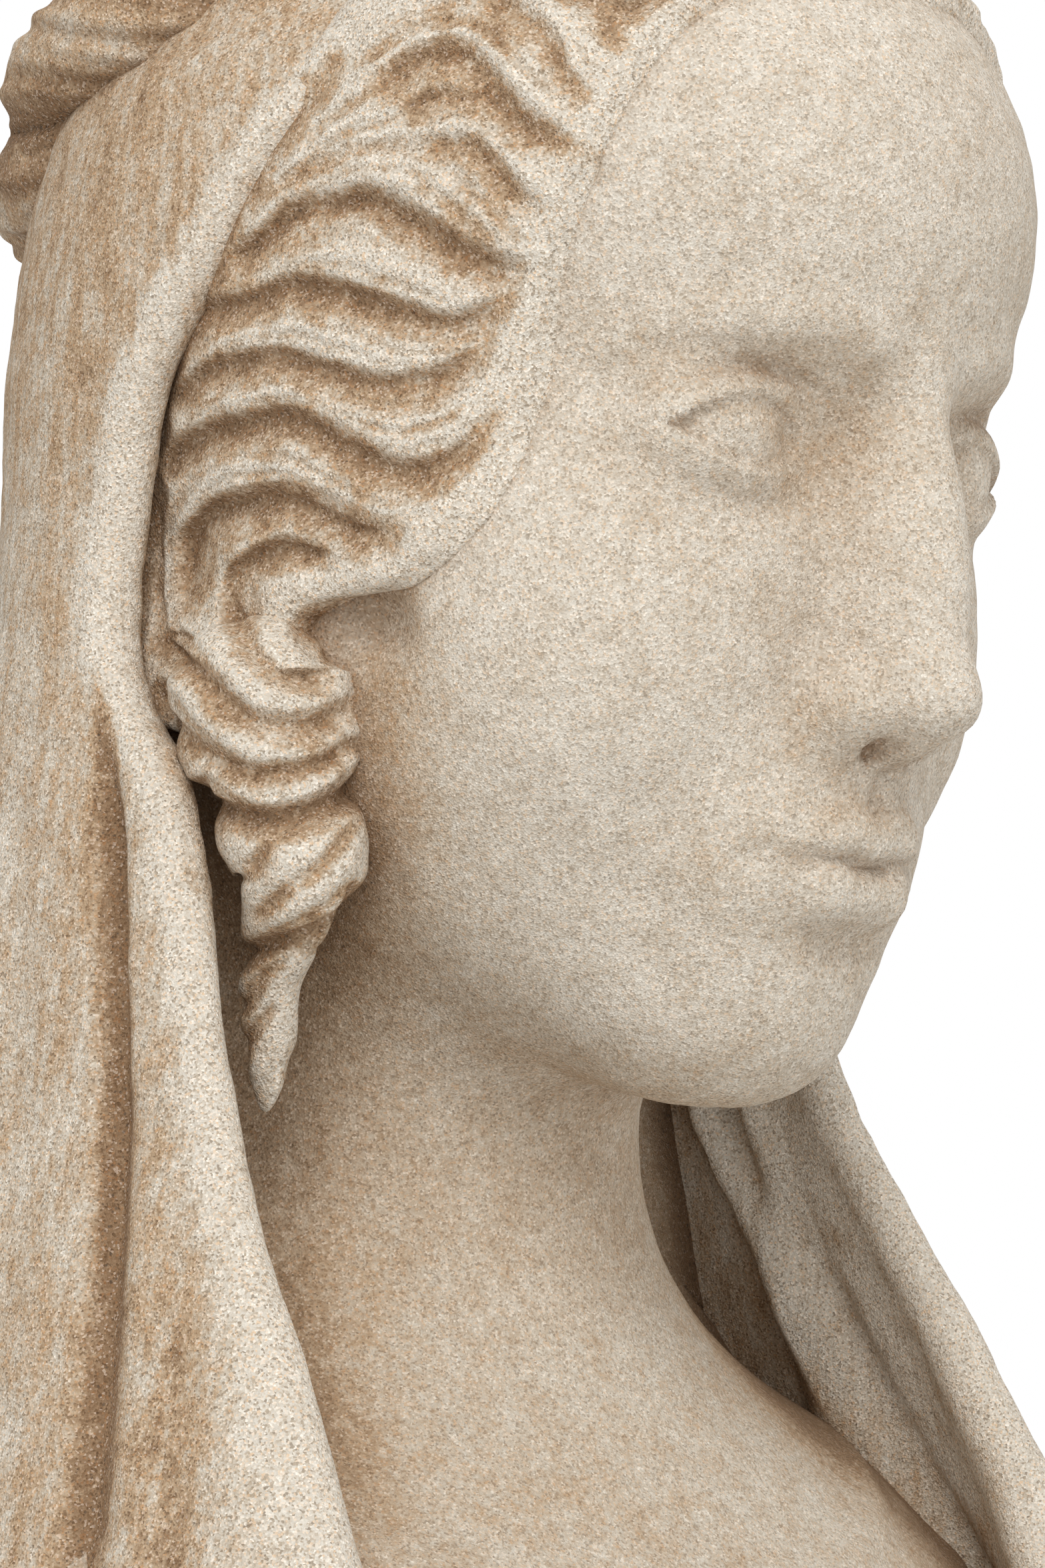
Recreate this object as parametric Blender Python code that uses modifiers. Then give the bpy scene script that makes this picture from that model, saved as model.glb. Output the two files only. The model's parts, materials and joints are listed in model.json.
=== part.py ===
"""Carved sandstone bust of a veiled woman with a rolled cloth wreath, cut flat below.

The bust is one block of stone, so it is one solid.  Every form is a surface worked out by a
function: flesh, hair, veil, ringlets and wreath are lofted grids.  The forms are fused by a
voxel remesh, reduced to the triangles that the carving needs, and sawn flat at the bottom.

Lengths inside the carving are given in carver's parts.  There are 220 parts in the height of
the head, from the chin to the crown, so that one part is a millimetre at life size.  They are
measured from the centre of the head: X to the figure's left, Y to its back, Z up.
"""
import math

import bmesh
import bpy
import numpy as np

# driving sizes, in metres and degrees
HEAD_HEIGHT = 0.220
HEAD_CENTRE_ABOVE_BASE = 0.272
HEAD_CENTRE_FORWARD = 0.01326
HEAD_BOW = 12.0
CLOTH_THICKNESS = 0.0095
WREATH_THICKNESS = 0.039

# quality of the solid
VOXEL = 0.0021
KEPT_SHARE = 0.042

PART = HEAD_HEIGHT / 220.0
BASE = -HEAD_CENTRE_ABOVE_BASE / PART
CLOTH = CLOTH_THICKNESS / PART
BOW = math.radians(HEAD_BOW)
BELOW_SAW = 9.0
LOW_CLOTH_SWELL = 0.8
SAW_REACH = 3.0


def smooth_min(a, b, blend):
    """Lesser of two distances, rounded where they are within the blend of each other."""
    h = np.clip(blend - np.abs(a - b), 0.0, None) / blend
    return np.minimum(a, b) - h * h * blend / 4.0


def smooth_max(a, b, blend):
    """Greater of two distances, rounded in the same way."""
    return -smooth_min(-a, -b, blend)


def smooth_step(x, low, high):
    """Rises from 0 at low to 1 at high with level ends."""
    t = np.clip((x - low) / (high - low), 0.0, 1.0)
    return t * t * (3.0 - 2.0 * t)


def bell(x, middle, width):
    """Bell curve of height 1."""
    return np.exp(-(((x - middle) / width) ** 2))


def ellipsoid(p, centre, radii):
    """Distance to an ellipsoid, to first order."""
    q = p - np.array(centre)
    r = np.array(radii)
    k0 = np.linalg.norm(q / r, axis=-1)
    k1 = np.linalg.norm(q / (r * r), axis=-1) + 1e-9
    return k0 * (k0 - 1.0) / k1


def limb(p, a, b, radius_a, radius_b):
    """Distance to a straight limb that tapers from one radius to another."""
    a, b = np.array(a, float), np.array(b, float)
    along = b - a
    t = np.clip(((p - a) @ along) / (along @ along), 0.0, 1.0)
    return np.linalg.norm(p - a - t[..., None] * along, axis=-1) - (radius_a + (radius_b - radius_a) * t)


def spline(points, t):
    """Smooth curve through the points: Catmull-Rom, with t from 0 to 1 over the whole length."""
    pts = np.array(points, float)
    pts = np.vstack([2 * pts[0] - pts[1], pts, 2 * pts[-1] - pts[-2]])
    x = np.clip(np.asarray(t, float), 0.0, 1.0) * (len(pts) - 3)
    i = np.minimum(x.astype(int), len(pts) - 4)
    f = (x - i)[..., None]
    a, b, c, d = pts[i], pts[i + 1], pts[i + 2], pts[i + 3]
    return 0.5 * (2 * b + (c - a) * f + (2 * a - 5 * b + 4 * c - d) * f ** 2 + (3 * b - a - 3 * c + d) * f ** 3)


def unit(v):
    """Vectors cut or stretched to a length of 1."""
    return v / np.maximum(np.linalg.norm(v, axis=-1, keepdims=True), 1e-9)


def head_axes(p):
    """Turns a point into the bowed head's own axes."""
    c, s = math.cos(BOW), math.sin(BOW)
    return np.stack([p[..., 0], c * p[..., 1] + s * p[..., 2], -s * p[..., 1] + c * p[..., 2]], axis=-1)


# half width, middle and back of the veil at heights from the base to the crown, in parts
VEIL_HEIGHTS = (-290.0, -187.0, -124.0, -45.0, 0.0, 50.0, 80.0)
VEIL_HALF_WIDTH = (152.0, 112.0, 93.0, 80.0, 77.5, 70.0, 52.0)
VEIL_MIDDLE = (-5.0, 0.0, 13.0, 26.0, 20.0, 9.0, 4.0)
VEIL_BACK = (128.0, 112.0, 98.0, 86.0, 86.5, 79.5, 61.0)
VEIL_DOME_CENTRE = (0.0, 3.0, 12.0)
VEIL_DOME_RADII = (77.5, 84.0, 96.0)
FOLD_GROOVE = 83.5

# front border of the veil on the figure's left, from the base up to the top of the head
VEIL_BORDER = (
    (122.0, -94.0, -292.0), (112.0, -79.5, -240.0), (100.0, -50.0, -194.0), (94.5, -34.5, -165.0),
    (91.0, -23.5, -147.0), (88.0, -15.0, -130.0), (85.0, -7.5, -111.0), (82.0, -0.5, -88.0),
    (80.0, 7.0, -69.0), (79.5, 17.5, -56.0), (79.0, 22.0, -44.0), (78.5, 21.0, -26.0),
    (78.5, 16.0, -6.0), (78.0, 5.0, 12.0), (75.5, -9.5, 34.0), (66.5, -25.0, 50.0),
    (44.0, -44.0, 74.0), (20.0, -53.5, 86.0), (0.0, -56.0, 90.0),
)
VEIL_APEX = (0.0, 78.0, 46.0)


def veil_section(z):
    """Half width, middle and half depth of the veil's level section at a height."""
    half_width = np.interp(z, VEIL_HEIGHTS, VEIL_HALF_WIDTH)
    middle = np.interp(z, VEIL_HEIGHTS, VEIL_MIDDLE)
    return half_width, middle, np.interp(z, VEIL_HEIGHTS, VEIL_BACK) - middle


def veil_folds(p):
    """Height of the veil's hanging folds, as waves of the angle round the neck that grow downwards."""
    half_width, middle, half_depth = veil_section(p[..., 2])
    turn = np.degrees(np.arctan2(np.abs(p[..., 0]) / half_width, -(p[..., 1] - middle) / half_depth))
    z = p[..., 2]
    sway = 2.4 * np.sin(z * 0.021 + np.sign(p[..., 0]) * 0.9) + 1.1 * np.sin(z * 0.053)
    low = smooth_step(-z, -10.0, 250.0)
    back = smooth_step(turn, 100.0, 125.0)
    bend = turn + sway * back + 2.2 * np.sin(np.radians(turn * 4.0 + 20.0)) * back
    waves = (1.0 - 2.0 * (0.5 - 0.5 * np.cos(np.radians(bend * 10.0))) ** (1.0 + 0.7 * back)) * (1.0 + 1.1 * back)
    groove = bell(turn, FOLD_GROOVE + 0.5 * sway * low, 2.4) * smooth_step(-z, 58.0, 84.0)
    flute = bell(turn, FOLD_GROOVE - 7.5, 3.4) * smooth_step(-z, 120.0, 200.0)
    return 3.0 * low * (waves - 1.0) - 5.2 * groove - 2.2 * flute


def veil_distance(p):
    """Distance to the veil's outside: a dome over the head that runs into the hanging skirt."""
    half_width, middle, half_depth = veil_section(p[..., 2])
    level = np.sqrt((p[..., 0] / half_width) ** 2 + ((p[..., 1] - middle) / half_depth) ** 2)
    skirt = (level - 1.0) * np.minimum(half_width, half_depth) * 0.9
    skirt = smooth_max(skirt, p[..., 2] - 52.0, 12.0)
    return smooth_min(ellipsoid(p, VEIL_DOME_CENTRE, VEIL_DOME_RADII), skirt, 10.0)


def face_distance(m):
    """Distance to the head without hair, in its own axes and folded onto the figure's left."""
    x, z = m[..., 0], m[..., 2]
    front = smooth_step(-m[..., 1], 74.0, 82.0)
    d = ellipsoid(m, (0, 3, 22), (70, 85, 82))
    d = smooth_min(d, ellipsoid(m, (0, -42, 40), (55, 49.5, 44)), 26.0)
    d = smooth_min(d, ellipsoid(m, (0, -27, -36), (60, 61, 68)), 24.0)
    d = smooth_min(d, ellipsoid(m, (31, -52, -38), (27, 28, 36)), 18.0)
    d = smooth_min(d, limb(m, (10, -61, -86), (45, -8, -62), 21.5, 21.5), 22.0)
    d = smooth_min(d, ellipsoid(m, (0, -72, -93), (17, 17, 15)), 16.0)
    # eye sockets, brows, eyeballs with their lids
    d = smooth_max(d, -ellipsoid(m, (29, -94, 1), (18.5, 13, 11.5)), 10.0)
    arch = z - 19.0 + 0.0085 * (x - 24.0) ** 2
    brow = bell(arch, 0.0, 5.0) * smooth_step(x, 2.0, 16.0) * (1.0 - smooth_step(x, 36.0, 56.0))
    d = d - 1.7 * brow * smooth_step(-m[..., 1], 50.0, 66.0)
    d = smooth_min(d, ellipsoid(m, (29.5, -68.8, -0.5), (16.5, 14.2, 12)), 3.0)
    # nose
    nose = smooth_min(limb(m, (0, -83.5, 20), (0, -100.3, -33), 6.6, 5.8),
                      ellipsoid(m, (0, -101, -37), (8.4, 8.6, 7.4)), 5.0)
    nose = smooth_min(nose, ellipsoid(m, (0, -86, -24), (12.5, 14, 27)), 10.0)
    nose = smooth_min(nose, ellipsoid(m, (9.6, -91, -40), (6.4, 8.8, 6.6)), 3.5)
    d = smooth_min(d, nose, 7.0)
    # lips on the round of the teeth, and the furrow under them
    d = smooth_min(d, ellipsoid(m, (0, -78.5, -64.5), (26, 15, 21)), 14.0)
    d = smooth_min(d, limb(m, (0, -92.6, -61.8), (22, -83, -65.4), 4.4, 1.8), 3.6)
    d = smooth_min(d, limb(m, (0, -91.6, -70.6), (20, -84, -67.6), 5.2, 2.2), 3.8)
    return d + 1.3 * bell(z, -79.5, 3.6) * bell(x, 0.0, 15.0) * front


def flesh_distance(p):
    """Distance to the face, neck and chest, with the block of stone that stays behind the neck."""
    h = head_axes(p)
    d = face_distance(np.stack([np.abs(h[..., 0]), h[..., 1], h[..., 2]], axis=-1))
    d = smooth_min(d, limb(p, (0, 26, -60), (0, 52, -200), 52, 55), 20.0)
    outside = veil_distance(p)
    chest = smooth_max(ellipsoid(p, (0, 48, -282), (184, 122, 132)), outside + 0.6 * CLOTH, 6.0)
    arc = np.hypot(p[..., 0] * 0.8, p[..., 2] + 90.0)
    neckline = (bell(arc, 116.0, 4.0) + 0.8 * bell(arc, 142.0, 5.0)) * smooth_step(-p[..., 1], -10.0, 20.0)
    d = smooth_min(d, chest - 1.3 * neckline, 44.0)
    core = smooth_max(outside + 0.5 * CLOTH, 22.0 - p[..., 1], 14.0)
    core = np.maximum(core, p[..., 2] - 60.0)
    d = smooth_min(d, core, 12.0)
    beside = np.stack([np.abs(p[..., 0]), p[..., 1], p[..., 2]], axis=-1)
    return smooth_max(d, -ellipsoid(beside, (70.0, -27.0, -46.5), (11.0, 9.0, 7.0)), 5.0)


def cast(origin, direction, distance, reach, steps=70):
    """Walks in along each ray from outside until the distance is nought, and gives the points."""
    t = np.full(direction.shape[:-1], float(reach))
    for _ in range(steps):
        t = t - 0.7 * distance(origin + t[..., None] * direction)
        t = np.clip(t, 1.0, reach)
    return origin + t[..., None] * direction


def turn_and_tilt(turn, tilt):
    """Direction from an angle round the upright axis, nought at the front, and an angle of rise."""
    return np.stack([np.sin(turn) * np.cos(tilt), -np.cos(turn) * np.cos(tilt), np.sin(tilt)], axis=-1)


# rays for the flesh: share of the rows, height and depth of their start, angle of rise in degrees
FLESH_RAYS = ((0.0, 0.0, 0.0, 90.0), (0.12, 0.0, 0.0, 50.0), (0.46, 0.0, 0.0, -28.0),
              (0.60, -100.0, 30.0, -6.0), (0.72, -100.0, 30.0, -34.0), (0.88, -190.0, 50.0, 0.0),
              (1.0, BASE - BELOW_SAW, 50.0, 0.0))


def flesh_grid(columns, rows):
    """Face, neck and chest: where rays from the middle of the head and neck meet the flesh."""
    u, v = np.meshgrid(np.linspace(0, 1, columns), np.linspace(0, 1, rows), indexing="ij")
    share, height, depth, rise = np.array(FLESH_RAYS).T
    start = np.stack([0 * u, np.interp(v, share, depth), np.interp(v, share, height)], axis=-1)
    way = turn_and_tilt((u * 2.0 - 1.0) * math.pi, np.radians(np.interp(v, share, rise)))
    points = cast(start, way, flesh_distance, 260.0)
    middle = np.repeat(start[:, -1:, :], 1, axis=1)
    return np.concatenate([points, middle], axis=1)


def slerp(a, b, t):
    """Turns one direction evenly into another."""
    angle = np.arccos(np.clip(np.sum(a * b, axis=-1, keepdims=True), -1.0, 1.0))
    return (np.sin((1 - t) * angle) * a + np.sin(t * angle) * b) / np.sin(angle)


def veil_grid(columns, rows, rim_rows=5):
    """The veil: a hood from its front border round to the back, with a rounded rim and a lining."""
    e = np.linspace(0.0, 1.0, columns)
    half = 1.0 - np.abs(2.0 * e - 1.0)
    side = np.where(e < 0.5, 1.0, -1.0)
    border = spline(VEIL_BORDER, half)
    start_height = np.clip(border[:, 2], BASE - BELOW_SAW, 0.0)
    start = np.stack([0 * e, np.interp(start_height, (-190.0, 0.0), (40.0, 0.0)), start_height], axis=-1)
    low_back = np.stack([0 * e, 120.0 + 0 * e, start_height], axis=-1)
    rise = smooth_step(half, 0.45, 1.0)[:, None]
    back = low_back * (1 - rise) + np.array(VEIL_APEX) * rise
    a, b = unit(border - start), unit(back - start)
    t = np.linspace(0.0, 1.0, rows)[None, :, None]
    way = slerp(a[:, None, :], b[:, None, :], t)
    start = np.repeat(start[:, None, :], rows, axis=1)
    mirror = np.stack([side, 1 + 0 * side, 1 + 0 * side], axis=-1)[:, None]
    outside = cast(start, way, veil_distance, 300.0)
    outside = outside + way * veil_folds(outside * mirror)[..., None]
    thickness = CLOTH * (1.0 + LOW_CLOTH_SWELL * smooth_step(-outside[..., 2], 100.0, -BASE))
    lining = outside - way * thickness[..., None]
    lining[:, :, 2] = np.maximum(lining[:, :, 2], BASE - BELOW_SAW)
    forward = unit(outside[:, 0] - outside[:, 1])
    turn = np.linspace(0.0, math.pi, rim_rows + 2)[1:-1][None, :, None]
    middle = 0.5 * (outside[:, :1] + lining[:, :1])
    radius = 0.5 * thickness[:, :1, None]
    rim = middle + radius * (np.cos(turn) * way[:, :1] + np.sin(turn) * forward[:, None])
    loop = np.concatenate([outside[:, ::-1], rim, lining], axis=1)
    loop[..., 0] *= side[:, None]
    return loop


# hairline on the figure's left: angle round the head from the front in degrees, and height
HAIRLINE = ((0.0, 57.0), (16.0, 57.5), (32.0, 50.0), (45.0, 32.0), (52.0, 10.0), (54.0, -8.0),
            (59.5, -25.0), (68.5, -37.5), (78.5, -43.0), (84.0, -58.0))
HAIR_BACK = ((0.0, -50.0, 92.0), (38.0, -40.0, 79.0), (62.0, -18.0, 50.0), (73.0, 10.0, 20.0),
             (75.0, 26.0, -8.0), (74.0, 32.0, -30.0), (71.0, 30.0, -64.0))

# grooves between the locks, drawn from in front of the figure's right: width, depth, lean and line
CORNER_AZIMUTH = math.radians(-50.0)
CORNER_ELEVATION = math.radians(-5.0)
CORNER_DISTANCE = 750.0
CORNER_AIM = (4.0, 66.0)
CURL_PIT = (-28.0, -38.8)
CUTS = (
    (3.0, 3.2, 0.35, ((17.7, 98.6), (27.6, 97.0), (37.4, 88.4), (50.6, 87.1), (62.5, 77.5), (67.0, 71.0))),
    (3.0, 3.2, 0.35, ((7.9, 90.4), (17.7, 90.0), (26.8, 81.4), (39.9, 81.0), (52.2, 75.7), (63.5, 68.0))),
    (3.0, 3.2, 0.35, ((-1.9, 80.6), (9.5, 81.0), (17.7, 72.4), (30.1, 71.6), (44.0, 70.7), (57.0, 64.0))),
    (2.2, 2.4, 0.3, ((8.7, 74.8), (16.9, 69.9), (24.3, 62.5), (34.2, 63.4), (43.0, 65.5), (52.0, 61.0))),
    (2.4, 2.6, 0.3, ((-6.9, 72.4), (3.8, 69.9), (10.0, 62.5), (15.7, 55.2), (26.8, 55.2), (36.0, 60.0), (44.0, 57.5))),
    (3.0, 3.6, 0.35, ((-23.3, 56.0), (-15.1, 61.3), (-6.4, 62.4), (1.3, 54.3), (9.5, 47.6), (19.8, 45.1), (29.6, 52.3))),
    (2.4, 3.0, 0.35, ((-18.3, 51.0), (-11.4, 55.0), (-1.9, 54.5), (6.3, 49.0), (10.4, 46.9))),
    (2.6, 3.0, 0.35, ((-15.1, 46.5), (-8.5, 46.9), (-0.7, 42.8), (5.4, 36.3), (14.5, 35.5), (22.7, 43.7))),
    (3.4, 4.2, 0.4, ((-52.8, 19.1), (-43.8, 28.9), (-35.6, 34.8), (-26.5, 36.7), (-18.3, 35.5), (-8.5, 29.6), (1.3, 25.2), (11.2, 28.9))),
    (2.8, 3.4, 0.35, ((-57.3, 10.9), (-52.0, 17.8), (-42.1, 20.3), (-32.3, 22.1), (-22.4, 19.1), (-12.6, 15.9), (-2.8, 17.0), (5.4, 24.8))),
    (2.6, 3.0, 0.35, ((-59.2, -0.6), (-52.0, 6.3), (-40.5, 9.6), (-29.8, 7.2), (-18.3, 5.1), (-7.7, 8.0), (0.5, 16.6))),
    (1.8, 2.0, 0.2, ((-32.3, 5.5), (-28.2, 3.3), (-23.3, 1.8), (-17.5, 1.4), (-11.8, 2.5), (-7.7, 5.0), (-4.4, 8.4))),
    (3.0, 3.6, 0.35, ((-59.2, -12.1), (-54.4, -5.5), (-44.6, -1.9), (-33.9, -1.9), (-25.7, -6.8), (-15.9, -10.3), (-6.0, -6.8), (1.3, 4.3))),
    (3.4, 4.2, 0.4, ((-53.6, -37.5), (-54.3, -26.9), (-50.3, -18.0), (-39.7, -14.8), (-30.6, -17.4), (-21.6, -21.1), (-15.9, -21.1))),
    (2.6, 3.4, 0.35, ((-45.8, -40.8), (-46.9, -31.8), (-42.1, -25.0), (-32.3, -24.2), (-28.2, -26.5))),
    (2.6, 2.6, 0.0, ((-23.3, 66.6), (-34.7, 52.7), (-45.4, 35.5), (-57.3, 12.5), (-61.4, -6.4), (-63.3, -22.8), (-65.3, -40.0), (-65.9, -48.2))),
    (2.4, 3.2, 0.35, ((-61.4, -39.2), (-55.0, -41.8), (-48.6, -49.8), (-39.6, -54.6), (-29.4, -53.0), (-24.9, -50.7))),
    (2.2, 2.6, 0.3, ((-44.4, -31.5), (-44.9, -35.3), (-44.1, -39.8), (-41.6, -43.7), (-37.7, -46.1), (-33.2, -46.4), (-28.7, -45.3))),
    (2.0, 2.6, 0.3, ((-61.4, -47.5), (-55.0, -55.2), (-46.0, -62.1), (-33.9, -62.3), (-24.2, -57.0))),
    (2.6, 4.0, 0.4, ((-53.1, -63.6), (-47.3, -69.3), (-36.4, -70.5), (-25.5, -64.5), (-22.6, -61.3))),
    (2.2, 3.4, 0.4, ((-48.6, -95.0), (-44.8, -94.2), (-40.3, -92.9), (-34.5, -90.5), (-29.4, -87.3), (-24.9, -82.2))),
)


def drawn(p):
    """Where points are seen from the corner, from the middle of the head: to the right and up."""
    a, e = CORNER_AZIMUTH, CORNER_ELEVATION
    back = np.array((math.sin(a) * math.cos(e), -math.cos(a) * math.cos(e), math.sin(e)))
    right = np.array((math.cos(a), math.sin(a), 0.0))
    up = np.cross(back, right)
    aim = right * CORNER_AIM[0] - np.array((0.0, 0.0, CORNER_AIM[1]))
    flat = []
    for q in (p - aim, -aim):
        scale = CORNER_DISTANCE / (CORNER_DISTANCE - q @ back)
        flat.append(np.stack([q @ right * scale, q @ up * scale], axis=-1))
    return flat[0] - flat[1]


def carved(p):
    """Depth of the grooves between the locks at points on the figure's left."""
    plan = drawn(p * np.array((-1.0, 1.0, 1.0))).reshape(-1, 2)
    total = np.zeros(len(plan))
    for width, depth, lean, line in CUTS:
        t = np.linspace(0.0, 1.0, 12 * len(line))
        curve = spline(line, t)
        step = np.gradient(curve, axis=0)
        ahead = unit(step)
        gap = plan[:, None] - curve[None]
        first = np.argmin(np.sum(gap * gap, axis=2), axis=1)
        gap, ahead, length = gap[np.arange(len(plan)), first], ahead[first], np.linalg.norm(step, axis=1)[first]
        over = ahead[:, 0] * gap[:, 1] - ahead[:, 1] * gap[:, 0]
        past = np.clip(np.abs(np.sum(gap * ahead, axis=1)) - length, 0.0, None)
        leant = width * (1.0 - lean * np.tanh(over / 0.6))
        fade = np.clip(np.minimum(t, 1.0 - t)[first] / 0.16, 0.0, 1.0) ** 0.7
        total += (depth * fade * np.exp(-(over / leant) ** 2 - (past / 1.2) ** 2)) ** 2.5
    away = (plan - np.array(CURL_PIT)) / np.array((6.4, 4.4))
    pit = np.exp(-np.sum(away * away, axis=1) ** 1.5)
    return (total ** 0.4 + 8.0 * pit).reshape(p.shape[:-1])


def hair_grid(columns, rows, side):
    """Hair beside the face, from the hairline to under the veil's border, for one side."""
    s, t = np.meshgrid(np.linspace(-0.14, 1.05, columns), np.linspace(0.0, 1.0, rows), indexing="ij")
    front = spline(HAIRLINE, t)
    turn = np.radians(front[..., 0])
    on_face = np.stack([np.sin(turn) * 64.0, -np.cos(turn) * 86.0, front[..., 1]], axis=-1)
    way = unit(spline(HAIR_BACK, t) * (1 - s[..., None]) + on_face * s[..., None])
    skin = cast(np.zeros_like(way), way, flesh_distance, 180.0, 50)
    edge = np.clip(1.0 - (np.abs(s - 0.5) / 0.55) ** 9, 0.0, 1.0) ** 0.5
    ends = np.clip(1.0 - t ** 40, 0.0, 1.0) ** 0.5
    swell = np.sin(math.pi * np.clip(0.06 + 0.94 * s, 0, 1)) ** 0.6
    body = 2.6 + 5.8 * swell * (0.72 + 0.28 * smooth_step(t, 0.5, 0.9))
    depth = carved(skin + way * (body - 1.5)[..., None])
    depth = 0.86 * depth * (1.0 - smooth_step(s, 0.86, 0.99) * (1.0 - smooth_step(t, 0.74, 0.86)))
    height = (body - depth - 2.6 * bell(skin[..., 0], 0.0, 2.2)) * edge * ends - 2.0 * (1 - edge * ends)
    outside = skin + way * height[..., None]
    inside = skin - way * 16.0
    points = np.concatenate([outside, inside[::-1]], axis=0)
    points = np.concatenate([points, points[:1]], axis=0)
    points[..., 0] *= side
    return points


def carried_grid(path, section, columns, rows, closed=False):
    """A section carried along a path: the section gives two offsets across it from place and angle."""
    t = np.linspace(0.0, 1.0, rows)
    centre = path(t)
    tangent = unit(path(np.clip(t + 0.002, 0, 1)) - path(np.clip(t - 0.002, 0, 1)))
    if closed:
        tangent = unit(path(t + 0.001) - path(t - 0.001))
    reference = np.array((1.0, 0.15, 0.0)) if not closed else np.array((0.0, 0.0, 1.0))
    normal = unit(reference - tangent * (tangent @ reference)[:, None])
    binormal = np.cross(tangent, normal)
    turn = np.linspace(0.0, 2.0 * math.pi, columns)
    a, b = section(t[None, :], turn[:, None])
    return centre[None] + a[..., None] * normal[None] + b[..., None] * binormal[None]


RINGLET_PATH = ((66.0, -6.0, -43.0), (66.5, -5.5, -55.0), (66.5, -8.5, -65.0), (66.5, -11.5, -76.0),
                (66.5, -14.5, -86.0), (65.5, -9.5, -95.0), (64.5, -6.0, -102.0), (63.5, -4.5, -113.0),
                (63.0, -3.5, -124.0))
RINGLET_GIRTH = (13.6, 17.4, 15.8, 13.2, 11.0, 7.2, 5.6, 4.6, 2.4)


def ringlet_grid(columns, rows, side):
    """The lock that hangs in coils beside the jaw, with the same grooves cut into it."""
    def section(t, turn):
        size = np.interp(t, np.linspace(0.0, 1.0, len(RINGLET_GIRTH)), RINGLET_GIRTH)
        size = size * np.clip(1.0 - np.abs(2 * t - 1) ** 9, 0, 1) ** 0.5
        return 0.94 * size * np.cos(turn), size * np.sin(turn)
    points = carried_grid(lambda t: spline(RINGLET_PATH, t), section, columns, rows)
    out = points - spline(RINGLET_PATH, np.linspace(0.0, 1.0, rows))[None]
    depth = np.minimum(carved(points - unit(out)), 0.5 * np.linalg.norm(out, axis=-1))
    points = points - unit(out) * depth[..., None]
    points[-1] = points[0]
    points[..., 0] *= side
    return points


WREATH_MIDDLE = (0.0, 26.0, 64.5)
WREATH_RADII = (54.0, 58.0)
WREATH_TILT = 28.0
WREATH_TWISTS = 8


def wreath_path(t):
    """Level ellipse round the head, tilted back."""
    a = 2.0 * math.pi * t
    x = WREATH_RADII[0] * np.sin(a)
    y = -WREATH_RADII[1] * np.cos(a)
    tilt = math.radians(WREATH_TILT)
    return np.stack([x, WREATH_MIDDLE[1] + y * math.cos(tilt), WREATH_MIDDLE[2] - y * math.sin(tilt)], axis=-1)


def wreath_grid(columns, rows):
    """The rolled cloth: a section of three lobes that turns as it goes round the head."""
    radius = 0.5 * WREATH_THICKNESS / PART
    def section(t, turn):
        lobes = np.abs(np.cos(1.5 * (turn - 2.0 * math.pi * WREATH_TWISTS / 3.0 * t))) ** 0.6
        size = radius * (0.74 + 0.30 * lobes)
        return size * np.cos(turn), size * np.sin(turn)
    return carried_grid(wreath_path, section, columns, rows, closed=True)


def add_grid_object(name, points, collection):
    """Bends a plane of squares through the points, joins its seams and closes its open ends."""
    columns, rows = points.shape[:2]
    bm = bmesh.new()
    bmesh.ops.create_grid(bm, x_segments=columns - 1, y_segments=rows - 1, size=0.5)
    bm.verts.ensure_lookup_table()
    place = points * PART
    place[..., 1] -= HEAD_CENTRE_FORWARD
    place[..., 2] += HEAD_CENTRE_ABOVE_BASE
    for vert in bm.verts:
        i = round((vert.co.x + 0.5) * (columns - 1))
        j = round((vert.co.y + 0.5) * (rows - 1))
        vert.co = place[i, j]
    bmesh.ops.remove_doubles(bm, verts=bm.verts[:], dist=0.00005)
    bmesh.ops.dissolve_degenerate(bm, edges=bm.edges[:], dist=0.00005)
    open_edges = [edge for edge in bm.edges if edge.is_boundary]
    if open_edges:
        bmesh.ops.holes_fill(bm, edges=open_edges, sides=0)
    bmesh.ops.triangulate(bm, faces=[f for f in bm.faces if len(f.verts) > 4])
    bmesh.ops.recalc_face_normals(bm, faces=bm.faces[:])
    mesh = bpy.data.meshes.new(name)
    bm.to_mesh(mesh)
    bm.free()
    obj = bpy.data.objects.new(name, mesh)
    collection.objects.link(obj)
    return obj


def sandstone():
    """Pale worn sandstone."""
    material = bpy.data.materials.new("sandstone")
    material.use_nodes = True
    shader = material.node_tree.nodes["Principled BSDF"]
    shader.inputs["Base Color"].default_value = (0.60, 0.50, 0.38, 1.0)
    shader.inputs["Roughness"].default_value = 0.92
    shader.inputs["Metallic"].default_value = 0.0
    return material


def make_collection(name):
    """A new collection in the scene."""
    collection = bpy.data.collections.new(name)
    bpy.context.scene.collection.children.link(collection)
    return collection


def join_forms(forms, name):
    """Puts all forms into one object."""
    joined = bmesh.new()
    for form in forms:
        joined.from_mesh(form.data)
    mesh = bpy.data.meshes.new(name)
    joined.to_mesh(mesh)
    joined.free()
    for form in forms:
        bpy.data.objects.remove(form)
    return mesh


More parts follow.
